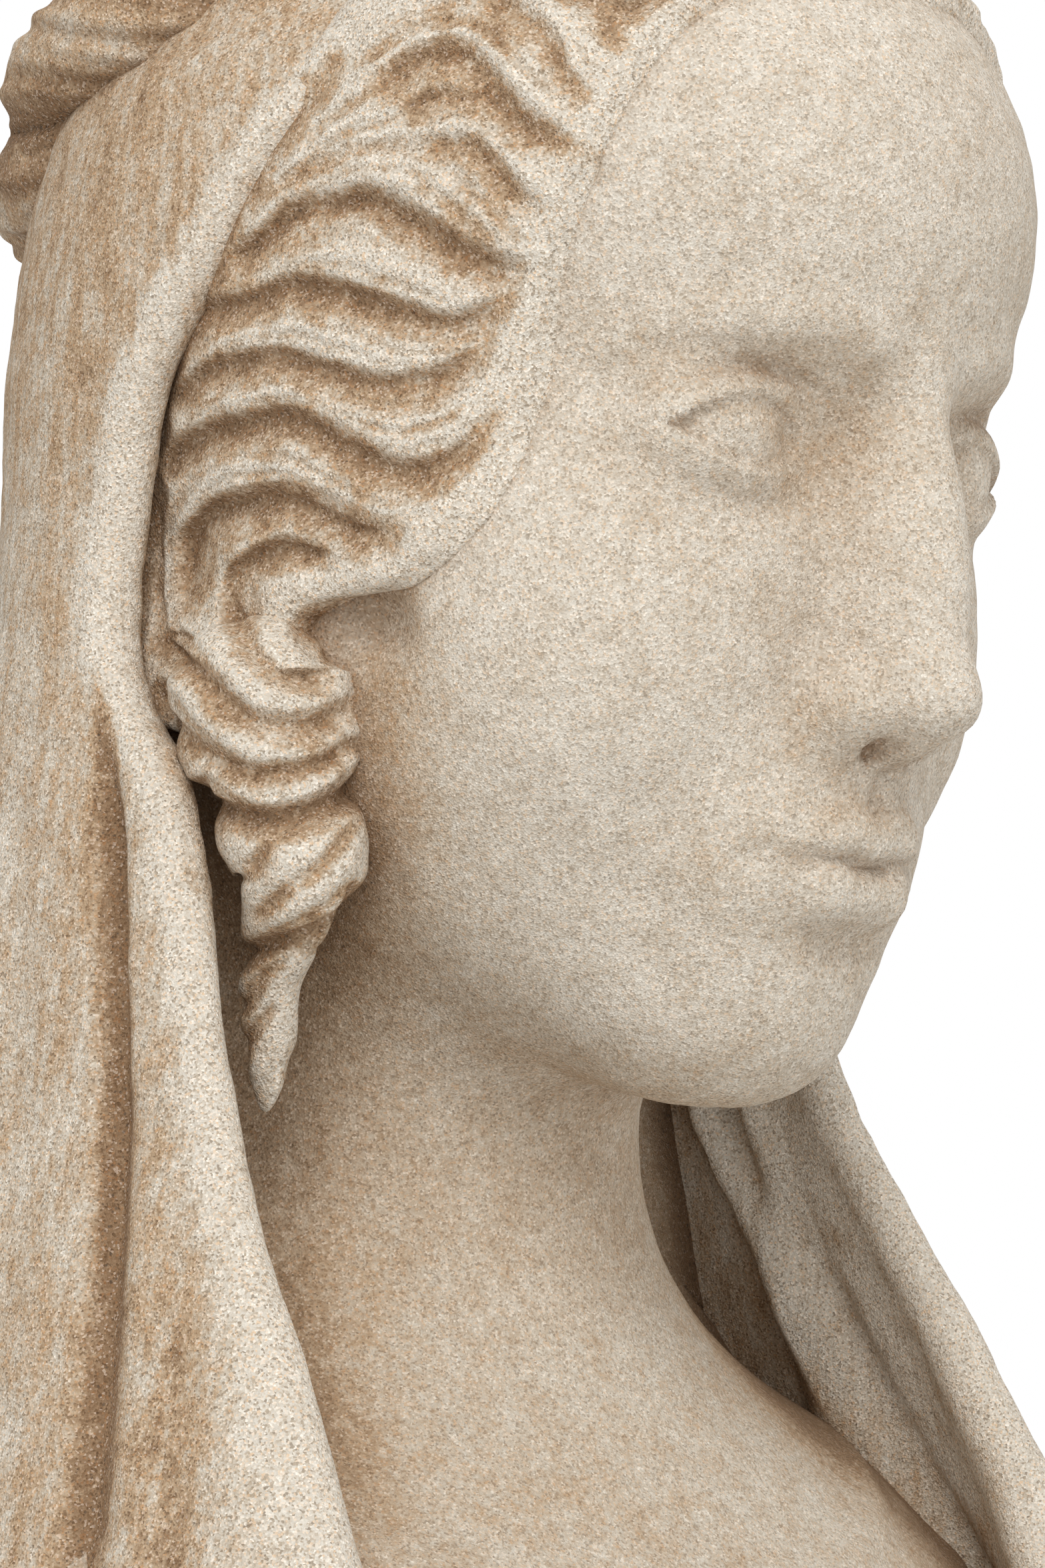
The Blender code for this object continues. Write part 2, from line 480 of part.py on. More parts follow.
def main():
    """Carves the bust."""
    for obj in list(bpy.data.objects):
        bpy.data.objects.remove(obj)
    parts = make_collection("madonna_bust_parts")
    cutters = make_collection("cutters")
    forms = [add_grid_object("flesh", flesh_grid(121, 150), cutters),
             add_grid_object("veil", veil_grid(221, 84), cutters),
             add_grid_object("wreath", wreath_grid(49, 301), cutters)]
    for side, word in ((1.0, "left"), (-1.0, "right")):
        forms.append(add_grid_object("hair_" + word, hair_grid(80, 220, side), cutters))
        forms.append(add_grid_object("ringlet_" + word, ringlet_grid(49, 90, side), cutters))
    bust = bpy.data.objects.new("madonna_bust", join_forms(forms, "madonna_bust"))
    parts.objects.link(bust)
    bust.data.materials.append(sandstone())

    reach = SAW_REACH * HEAD_HEIGHT
    bpy.ops.mesh.primitive_cube_add(size=reach, location=(0.0, 0.0, -reach / 2.0))
    saw = bpy.context.active_object
    saw.name = "saw_below"
    for owner in list(saw.users_collection):
        owner.objects.unlink(saw)
    cutters.objects.link(saw)
    saw.hide_render = True
    saw.display_type = "WIRE"

    fuse = bust.modifiers.new("fuse", "REMESH")
    fuse.mode = "VOXEL"
    fuse.voxel_size = VOXEL
    soften = bust.modifiers.new("soften", "SMOOTH")
    soften.factor = 0.5
    soften.iterations = 1
    reduce = bust.modifiers.new("reduce", "DECIMATE")
    reduce.decimate_type = "COLLAPSE"
    reduce.use_collapse_triangulate = True
    reduce.ratio = KEPT_SHARE
    cut = bust.modifiers.new("cut", "BOOLEAN")
    cut.operation = "DIFFERENCE"
    cut.object = saw


main()
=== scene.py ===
"""Looks of the carved sandstone bust: a veiled woman's head with waved hair and a twisted wreath.

Every form is a grid of two parameters whose points are worked out with numpy.  Most are found by
casting rays from inside the head onto a blended distance field, so that the masses flow into each
other as they do in carved stone.  Lengths are in carver's parts: the head is 220 parts from chin to
crown, which is a millimetre each at life size.  They are measured from the middle of the head, with
X to the figure's left, Y to its back and Z up.
"""
from __future__ import annotations

import json
import logging
import math
from dataclasses import dataclass
from enum import Enum
from typing import Callable

import bmesh
import bpy
import numpy as np
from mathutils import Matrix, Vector

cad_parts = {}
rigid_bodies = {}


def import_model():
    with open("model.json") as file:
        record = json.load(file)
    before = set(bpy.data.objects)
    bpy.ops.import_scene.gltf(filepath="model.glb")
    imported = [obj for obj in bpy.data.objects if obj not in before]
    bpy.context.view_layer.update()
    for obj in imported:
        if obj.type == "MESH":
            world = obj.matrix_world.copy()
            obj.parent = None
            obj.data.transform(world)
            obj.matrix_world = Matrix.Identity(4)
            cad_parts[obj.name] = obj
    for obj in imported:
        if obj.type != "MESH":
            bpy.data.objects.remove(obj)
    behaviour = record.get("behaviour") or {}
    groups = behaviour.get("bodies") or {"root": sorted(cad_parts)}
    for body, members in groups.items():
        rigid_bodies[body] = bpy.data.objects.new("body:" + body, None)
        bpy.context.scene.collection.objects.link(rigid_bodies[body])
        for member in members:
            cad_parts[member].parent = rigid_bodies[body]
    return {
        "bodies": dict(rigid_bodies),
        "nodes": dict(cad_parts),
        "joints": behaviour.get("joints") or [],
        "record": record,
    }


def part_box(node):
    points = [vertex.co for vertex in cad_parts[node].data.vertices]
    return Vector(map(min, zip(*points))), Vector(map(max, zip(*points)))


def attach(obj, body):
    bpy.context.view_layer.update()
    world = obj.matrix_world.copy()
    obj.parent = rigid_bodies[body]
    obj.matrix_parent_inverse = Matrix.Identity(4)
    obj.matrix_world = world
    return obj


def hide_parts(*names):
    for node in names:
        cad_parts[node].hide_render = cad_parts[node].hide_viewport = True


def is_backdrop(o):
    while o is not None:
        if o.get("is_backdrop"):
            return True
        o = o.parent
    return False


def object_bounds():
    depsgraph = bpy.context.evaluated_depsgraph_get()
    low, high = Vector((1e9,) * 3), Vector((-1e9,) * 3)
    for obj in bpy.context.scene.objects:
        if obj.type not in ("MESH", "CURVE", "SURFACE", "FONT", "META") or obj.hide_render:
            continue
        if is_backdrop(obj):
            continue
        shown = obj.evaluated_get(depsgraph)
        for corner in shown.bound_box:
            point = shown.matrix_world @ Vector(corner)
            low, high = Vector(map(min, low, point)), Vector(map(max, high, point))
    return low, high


log = logging.getLogger("madonna_bust")

NODE = "madonna_bust"
BODY = "root"
HEAD_HEIGHT = 0.220
PARTS_IN_HEAD = 220.0
PART = HEAD_HEIGHT / PARTS_IN_HEAD
BASE = -272.0
CENTRE_FORWARD = 13.26
BOW = math.radians(12.0)


class Side(Enum):
    """The figure's own sides, with the sign of X there."""

    LEFT = 1.0
    RIGHT = -1.0


def smooth_min(a: np.ndarray, b: np.ndarray, blend: float) -> np.ndarray:
    """Lesser of two distances, rounded by a parabola where they differ by less than the blend.

    Args:
        a: first distance.
        b: second distance.
        blend: reach of the rounding, in parts.

    Returns:
        min(a, b) less (blend - |a - b|) squared over four blends, where that is inside the blend.
    """
    h = np.clip(blend - np.abs(a - b), 0.0, None)
    return np.minimum(a, b) - h * h / (4.0 * blend)


def smooth_max(a: np.ndarray, b: np.ndarray, blend: float) -> np.ndarray:
    """Greater of two distances, rounded in the same way as smooth_min."""
    return -smooth_min(-a, -b, blend)


def smooth_step(x: np.ndarray, low: float, high: float) -> np.ndarray:
    """Rises from 0 at low to 1 at high with level ends: 3t squared less 2t cubed."""
    t = np.clip((x - low) / (high - low), 0.0, 1.0)
    return t * t * (3.0 - 2.0 * t)


def bell(x: np.ndarray, middle: float, width: float) -> np.ndarray:
    """Bell curve of height 1: e to minus the square of (x - middle) / width."""
    return np.exp(-(((x - middle) / width) ** 2))


def ellipsoid(p: np.ndarray, centre: tuple, radii: tuple) -> np.ndarray:
    """Distance to an ellipsoid, to first order.

    Args:
        p: points, with their coordinates on the last axis.
        centre: middle of the ellipsoid.
        radii: its three half axes.

    Returns:
        k0 (k0 - 1) / k1, where k0 is the length of q / r and k1 that of q / r squared.
    """
    q = p - np.array(centre, float)
    r = np.array(radii, float)
    k0 = np.linalg.norm(q / r, axis=-1)
    k1 = np.linalg.norm(q / (r * r), axis=-1) + 1e-9
    return k0 * (k0 - 1.0) / k1


def limb(p: np.ndarray, a: tuple, b: tuple, radius_a: float, radius_b: float) -> np.ndarray:
    """Distance to a straight limb with round ends.

    Args:
        p: points.
        a: one end of its middle line.
        b: other end.
        radius_a: thickness at a.
        radius_b: thickness at b.

    Returns:
        Distance to the nearest point of the line, less the radius there.
    """
    start, end = np.array(a, float), np.array(b, float)
    along = end - start
    t = np.clip(((p - start) @ along) / (along @ along), 0.0, 1.0)
    away = np.linalg.norm(p - start - t[..., None] * along, axis=-1)
    return away - (radius_a + (radius_b - radius_a) * t)


def spline(points: tuple, t: np.ndarray) -> np.ndarray:
    """Catmull-Rom curve through points, which leaves each along the line between its neighbours.

    Args:
        points: the points on the curve, in order.
        t: place along it, from 0 at the first point to 1 at the last.

    Returns:
        The curve's points at t.
    """
    pts = np.array(points, float)
    pts = np.vstack([2 * pts[0] - pts[1], pts, 2 * pts[-1] - pts[-2]])
    x = np.clip(np.asarray(t, float), 0.0, 1.0) * (len(pts) - 3)
    i = np.minimum(x.astype(int), len(pts) - 4)
    f = (x - i)[..., None]
    a, b, c, d = pts[i], pts[i + 1], pts[i + 2], pts[i + 3]
    bend = (2 * a - 5 * b + 4 * c - d) * f ** 2 + (3 * b - a - 3 * c + d) * f ** 3
    return 0.5 * (2 * b + (c - a) * f + bend)


def unit(v: np.ndarray) -> np.ndarray:
    """Vectors cut or stretched to a length of 1."""
    return v / np.maximum(np.linalg.norm(v, axis=-1, keepdims=True), 1e-9)


def slerp(a: np.ndarray, b: np.ndarray, t: np.ndarray) -> np.ndarray:
    """Turns direction a evenly into direction b as t goes from 0 to 1, along a great circle."""
    angle = np.arccos(np.clip(np.sum(a * b, axis=-1, keepdims=True), -1.0, 1.0))
    return (np.sin((1 - t) * angle) * a + np.sin(t * angle) * b) / np.sin(angle)


def bowed(p: np.ndarray) -> np.ndarray:
    """Turns points into the axes of the head, which is bowed forward about X."""
    c, s = math.cos(BOW), math.sin(BOW)
    return np.stack([p[..., 0], c * p[..., 1] + s * p[..., 2], -s * p[..., 1] + c * p[..., 2]], axis=-1)


def cast(start: np.ndarray, way: np.ndarray, distance: Callable, reach: float, steps: int = 46) -> np.ndarray:
    """Finds where rays meet a form, by walking in from outside.

    Args:
        start: where each ray starts, inside the form.
        way: its direction, of length 1.
        distance: signed distance to the form, negative inside.
        reach: length from the start at which the walk begins.
        steps: how many steps the walk takes.

    Returns:
        Start plus t times way, where each step takes most of the distance off t.
    """
    t = np.full(way.shape[:-1], float(reach))
    for _ in range(steps):
        t = np.clip(t - 0.75 * distance(start + t[..., None] * way), 1.0, reach)
    return start + t[..., None] * way


def soften(grid: np.ndarray, passes: int) -> np.ndarray:
    """Rounds off the values of a grid: each pass mixes a value half and half with its neighbours' mean."""
    for _ in range(passes):
        for axis in (0, 1):
            index = np.arange(grid.shape[axis])
            ahead = np.take(grid, np.minimum(index + 1, index[-1]), axis)
            behind = np.take(grid, np.maximum(index - 1, 0), axis)
            grid = 0.5 * grid + 0.25 * (ahead + behind)
    return grid


def worn(p: np.ndarray) -> np.ndarray:
    """Hand-cut unevenness of the stone: a sum of sine waves along slanted directions.

    Args:
        p: points.

    Returns:
        Height in parts, about a quarter of a part either way.
    """
    waves = ((0.31, 0.12, 0.22, 0.0, 0.11), (-0.19, 0.35, 0.11, 1.7, 0.10), (0.12, -0.27, 0.41, 4.1, 0.08),
             (0.62, 0.33, -0.48, 2.2, 0.05), (-0.41, 0.57, 0.66, 5.0, 0.045), (0.93, -0.61, 0.72, 0.6, 0.03))
    height = np.zeros(p.shape[:-1])
    for x, y, z, shift, size in waves:
        height += size * np.sin(p[..., 0] * x + p[..., 1] * y + p[..., 2] * z + shift
                                + 1.3 * np.sin(p[..., 2] * x * 0.4 + p[..., 0] * y * 0.5))
    return height


@dataclass(frozen=True)
class VeilForm:
    """Sizes of the veil: level sections from the base up, a dome over the head and a front border."""

    heights: tuple = (-290.0, -187.0, -124.0, -45.0, 0.0, 50.0, 80.0)
    half_width: tuple = (152.0, 112.0, 93.0, 80.0, 77.5, 70.0, 52.0)
    middle: tuple = (-5.0, 0.0, 13.0, 26.0, 20.0, 9.0, 4.0)
    back: tuple = (128.0, 112.0, 98.0, 86.0, 86.5, 79.5, 61.0)
    dome_centre: tuple = (0.0, 3.0, 12.0)
    dome_radii: tuple = (77.5, 84.0, 96.0)
    border: tuple = (
        (122.0, -94.0, -292.0), (112.0, -79.5, -240.0), (100.0, -50.0, -194.0), (94.5, -34.5, -165.0),
        (91.0, -23.5, -147.0), (88.0, -15.0, -130.0), (85.0, -7.5, -111.0), (82.0, -0.5, -88.0),
        (80.0, 7.0, -69.0), (79.5, 17.5, -56.0), (79.0, 22.0, -44.0), (78.5, 21.0, -26.0),
        (78.5, 16.0, -6.0), (78.0, 5.0, 12.0), (75.5, -9.5, 34.0), (66.5, -25.0, 50.0),
        (44.0, -44.0, 74.0), (20.0, -53.5, 86.0), (0.0, -56.0, 90.0),
    )
    apex: tuple = (0.0, 78.0, 46.0)
    cloth: float = 9.5
    low_swell: float = 0.8
    groove_turn: float = 83.5

    def section(self, z: np.ndarray) -> tuple:
        """Half width, middle and half depth of the level section at a height."""
        half_width = np.interp(z, self.heights, self.half_width)
        middle = np.interp(z, self.heights, self.middle)
        return half_width, middle, np.interp(z, self.heights, self.back) - middle

    def distance(self, p: np.ndarray) -> np.ndarray:
        """Distance to the smooth outside: the dome blended into the hanging skirt of level ellipses."""
        half_width, middle, half_depth = self.section(p[..., 2])
        level = np.sqrt((p[..., 0] / half_width) ** 2 + ((p[..., 1] - middle) / half_depth) ** 2)
        skirt = (level - 1.0) * np.minimum(half_width, half_depth) * 0.9
        skirt = smooth_max(skirt, p[..., 2] - 52.0, 12.0)
        return smooth_min(ellipsoid(p, self.dome_centre, self.dome_radii), skirt, 10.0)

    def turn(self, p: np.ndarray) -> np.ndarray:
        """Angle round the section in degrees, 0 at the front and 180 at the back."""
        half_width, middle, half_depth = self.section(p[..., 2])
        return np.degrees(np.arctan2(np.abs(p[..., 0]) / half_width, -(p[..., 1] - middle) / half_depth))

    def folds(self, p: np.ndarray) -> tuple:
        """Depth of the hanging folds.

        Args:
            p: points near the veil's outside.

        Returns:
            Height of the surface over the smooth one, and how brown it is painted, from 0 to 1: painted shade
            in the groove, the flute and the valleys of the folds, browner higher up and paler low down.
        """
        turn = self.turn(p)
        z = p[..., 2]
        sway = 2.4 * np.sin(z * 0.021 + np.sign(p[..., 0]) * 0.9) + 1.1 * np.sin(z * 0.053)
        low = smooth_step(-z, -10.0, 250.0)
        back = smooth_step(turn, 100.0, 125.0)
        bend = turn + sway * back + 2.2 * np.sin(np.radians(turn * 4.0 + 20.0)) * back
        dip = (0.5 - 0.5 * np.cos(np.radians(bend * 10.0))) ** (1.0 + 0.7 * back)
        waves = (1.0 - 2.0 * dip) * (1.0 + 1.1 * back)
        minor = np.cos(np.radians((turn + 0.6 * sway) * 23.0 + 40.0)) * smooth_step(turn, 84.0, 100.0)
        groove = bell(turn, self.groove_turn + 0.5 * sway * low, 2.2) * smooth_step(-z, 58.0, 84.0)
        flute = bell(turn, self.groove_turn - 7.5, 3.4) * smooth_step(-z, 120.0, 200.0)
        height = 3.0 * low * (waves - 1.0) + 1.1 * low * minor - 5.2 * groove - 2.2 * flute
        # Painted shade: brown in the groove beside the border, in the flute and in the valleys of the folds;
        # the last line also makes the veil browner higher up and paler low down.
        shade_mark = bell(turn, self.groove_turn + 0.5 * sway * low, 2.2) * smooth_step(-z, 34.0, 56.0)
        hollow = 0.95 * shade_mark + 0.75 * flute + 0.18 * low * (0.5 - 0.5 * waves)
        hollow = hollow + 0.16 * smooth_step(z, -110.0, 10.0) - 0.10 * low
        return height, hollow


@dataclass(frozen=True)
class Mass:
    """A rounded mass of the head: an ellipsoid, and how widely it flows into the rest."""

    middle: tuple
    radii: tuple
    blend: float

    def join(self, m: np.ndarray, d: np.ndarray) -> np.ndarray:
        """Adds the mass to the form whose distance is d."""
        return smooth_min(d, ellipsoid(m, self.middle, self.radii), self.blend)

    def sink(self, m: np.ndarray, d: np.ndarray) -> np.ndarray:
        """Sinks the mass's hollow into the form whose distance is d."""
        return smooth_max(d, -ellipsoid(m, self.middle, self.radii), self.blend)


@dataclass(frozen=True)
class Bar:
    """A round bar of flesh: its ends, the radii there, and how widely it flows into the rest."""

    start: tuple
    end: tuple
    radii: tuple
    blend: float

    def join(self, m: np.ndarray, d: np.ndarray) -> np.ndarray:
        """Adds the bar to the form whose distance is d."""
        return smooth_min(d, limb(m, self.start, self.end, *self.radii), self.blend)


@dataclass(frozen=True)
class FleshForm:
    """Sizes of the face, neck and chest, in the head's own axes where they belong to the head."""

    veil: VeilForm
    cranium: tuple = ((0, 3, 22), (70, 85, 82))
    forehead: Mass = Mass((0, -42, 40), (55, 49.5, 44), 26.0)
    lower_face: Mass = Mass((0, -27, -36), (60, 61, 68), 24.0)
    cheek: Mass = Mass((31, -52, -38), (27, 28, 36), 18.0)
    jaw: Bar = Bar((10, -61, -86), (45, -8, -62), (21.5, 21.5), 22.0)
    chin: Mass = Mass((0, -72, -93), (17, 17, 15), 16.0)
    socket: Mass = Mass((29, -94, 1.0), (18.5, 13.0, 11.5), 10.0)
    brow_middle: tuple = (24.0, 19.0)
    eye: tuple = (29.5, -68.8, -0.5)
    eye_radius: float = 13.2
    eye_half_width: float = 15.0
    upper_arc: float = 7.0
    lower_arc: float = 4.4
    lid: float = 1.7
    mouth_height: float = -65.8
    mouth_half_width: float = 22.5
    nose_bridge: tuple = ((0, -83.5, 20), (0, -100.3, -33), 6.6, 5.8)
    nose_tip: Mass = Mass((0, -101.0, -37.0), (8.4, 8.6, 7.4), 5.0)
    nose_sides: Mass = Mass((0, -86, -24), (12.5, 14, 27), 10.0)
    nose_wing: Mass = Mass((9.6, -91.0, -40.0), (6.4, 8.8, 6.6), 3.5)
    nose_wall: Mass = Mass((0, -94.0, -43.5), (4.2, 8.0, 4.0), 3.0)
    nostril: Mass = Mass((5.3, -94.5, -47.2), (3.0, 5.2, 3.2), 1.8)
    teeth: Mass = Mass((0, -78.5, -64.5), (26, 15.0, 21), 14.0)
    lips: tuple = (
        Bar((0.0, -92.6, -61.8), (9.0, -91.0, -61.6), (4.2, 4.1), 3.6),
        Bar((9.0, -91.0, -61.6), (22.0, -83.0, -65.4), (4.1, 1.8), 3.6),
        Bar((0.0, -91.6, -70.6), (8.0, -90.4, -70.4), (5.0, 4.9), 3.8),
        Bar((8.0, -90.4, -70.4), (20.0, -84.0, -67.6), (4.9, 2.2), 3.8),
    )
    neck: Bar = Bar((0, 26, -60), (0, 52, -200), (52, 55), 20.0)
    chest: tuple = ((0, 48, -282), (184, 122, 132))
    ear_hollow: Mass = Mass((70.0, -27.0, -46.5), (11.0, 9.0, 7.0), 5.0)

    def skull(self, m: np.ndarray) -> np.ndarray:
        """Broad masses: cranium, forehead, face, cheeks, jaw and chin."""
        d = ellipsoid(m, *self.cranium)
        for mass in (self.forehead, self.lower_face, self.cheek, self.jaw, self.chin):
            d = mass.join(m, d)
        return d

    def eyes(self, m: np.ndarray, d: np.ndarray) -> np.ndarray:
        """Sockets, brows, eyeballs and lids; the opening is the overlap of two circles."""
        x, z = m[..., 0], m[..., 2]
        d = self.socket.sink(m, d)
        arch = z - self.brow_middle[1] + 0.0085 * (x - self.brow_middle[0]) ** 2
        brow = bell(arch, 0.0, 5.0) * smooth_step(x, 2.0, 16.0) * (1.0 - smooth_step(x, 36.0, 56.0))
        d = d - 1.7 * brow * smooth_step(-m[..., 1], 50.0, 66.0)
        ex, ey, ez = self.eye
        h = self.eye_half_width
        up = (h * h + self.upper_arc ** 2) / (2 * self.upper_arc)
        low = (h * h + self.lower_arc ** 2) / (2 * self.lower_arc)
        over = np.hypot(x - ex, z - (ez + self.upper_arc - up)) - up
        under = np.hypot(x - ex, z - (ez - self.lower_arc + low)) - low
        opening = np.maximum(over, under)
        r = self.eye_radius
        lids = smooth_max(ellipsoid(m, self.eye, (r + 4.5, r + self.lid, r + 1.2)), -opening, 1.8)
        ball = ellipsoid(m, self.eye, (r + 2.5, r, r))
        near = bell(x, ex, 15.0) * smooth_step(-m[..., 1], 60.0, 70.0)
        crease = 1.1 * bell(over, 4.6, 1.1) * near * smooth_step(z, ez, ez + 4.0)
        below = 0.5 * bell(under, 6.0, 1.6) * near * smooth_step(-z, -ez + 1.0, -ez + 5.0)
        return smooth_min(smooth_min(d, lids, 4.0), ball, 0.8) + crease + below

    def nose(self, m: np.ndarray) -> np.ndarray:
        """Bridge, tip and wings, less the nostrils."""
        d = limb(m, *self.nose_bridge)
        for mass in (self.nose_tip, self.nose_sides, self.nose_wing, self.nose_wall):
            d = mass.join(m, d)
        return self.nostril.sink(m, d)

    def mouth(self, m: np.ndarray, d: np.ndarray) -> np.ndarray:
        """Lips on the round of the teeth, with the line between them and the furrow above."""
        x, z = m[..., 0], m[..., 2]
        for mass in (self.teeth, *self.lips):
            d = mass.join(m, d)
        d = d - 0.5 * bell(x, 5.4, 3.4) * bell(z, -57.6, 2.4) * smooth_step(-m[..., 1], 74.0, 82.0)
        line = self.mouth_height - 0.5 * bell(x, 0.0, 4.0) + 0.7 * bell(x, 9.0, 6.0)
        inside = 1.0 - smooth_step(x, self.mouth_half_width - 6.0, self.mouth_half_width + 1.0)
        front = smooth_step(-m[..., 1], 74.0, 82.0)
        gap = 1.3 * bell(z, line, 1.1) * inside * front
        beside = np.hypot(x - self.mouth_half_width + 0.5, z - self.mouth_height)
        corner = 0.7 * bell(beside, 0.0, 2.83) * front
        furrow = 0.8 * bell(x, 0.0, 2.4) * smooth_step(-z, 47.0, 50.0) * smooth_step(z, -60.0, -56.0) * front
        under_lip = 1.3 * bell(z, -79.5, 3.6) * bell(x, 0.0, 15.0) * front
        return d + gap + corner + furrow + under_lip

    def head(self, p: np.ndarray) -> np.ndarray:
        """Distance to the whole head without hair."""
        h = bowed(p)
        m = np.stack([np.abs(h[..., 0]), h[..., 1], h[..., 2]], axis=-1)
        d = self.eyes(m, self.skull(m))
        d = smooth_min(d, self.nose(m), 7.0)
        return self.mouth(m, d)

    def distance(self, p: np.ndarray) -> np.ndarray:
        """Distance to the head, neck and chest, and the block that stays behind the neck."""
        cloth = self.veil.cloth
        outside = self.veil.distance(p)
        d = self.neck.join(p, self.head(p))
        chest = smooth_max(ellipsoid(p, *self.chest), outside + 0.6 * cloth, 6.0)
        chest = chest - 1.3 * self.neckline(p)
        d = smooth_min(d, chest, 44.0)
        core = smooth_max(outside + 0.5 * cloth, 22.0 - p[..., 1], 14.0)
        core = np.maximum(core, p[..., 2] - 60.0)
        d = smooth_min(d, core, 12.0)
        beside = np.stack([np.abs(p[..., 0]), p[..., 1], p[..., 2]], axis=-1)
        return self.ear_hollow.sink(beside, d)

    def neckline(self, p: np.ndarray) -> np.ndarray:
        """Two very soft folds of the dress across the chest, as bells of the distance from a hanging arc."""
        arc = np.hypot(p[..., 0] * 0.8, p[..., 2] + 90.0)
        front = smooth_step(-p[..., 1], -10.0, 20.0)
        return (bell(arc, 116.0, 4.0) + 0.8 * bell(arc, 142.0, 5.0)) * front


@dataclass(frozen=True)
class Corner:
    """The corner in front of the figure's right that the bust is seen and its locks are drawn from."""

    azimuth: float = math.radians(-50.0)
    elevation: float = math.radians(-5.0)
    distance: float = 750.0
    aside: float = 4.0
    below: float = 66.0

    def axes(self) -> tuple:
        """Directions to the eye, to its right and up, as arrays of length 1."""
        a, e = self.azimuth, self.elevation
        back = np.array((math.sin(a) * math.cos(e), -math.cos(a) * math.cos(e), math.sin(e)))
        right = np.array((math.cos(a), math.sin(a), 0.0))
        return back, right, np.cross(back, right)

    def aim(self) -> np.ndarray:
        """Point that the eye looks at."""
        return self.axes()[1] * self.aside - np.array((0.0, 0.0, self.below))

    def project(self, p: np.ndarray) -> np.ndarray:
        """Right and up as seen from the eye, at the scale of the aim: offset times D / (D - nearness)."""
        back, right, up = self.axes()
        q = p - self.aim()
        scale = self.distance / (self.distance - q @ back)
        return np.stack([q @ right * scale, q @ up * scale], axis=-1)

    def drawn(self, p: np.ndarray) -> np.ndarray:
        """The same, from the middle of the head as it is seen."""
        return self.project(p) - self.project(np.zeros(3))


@dataclass(frozen=True)
class Cut:
    """One groove between locks: its width, depth, lean to its upper side, and line in the drawing."""

    width: float
    depth: float
    lean: float
    line: tuple


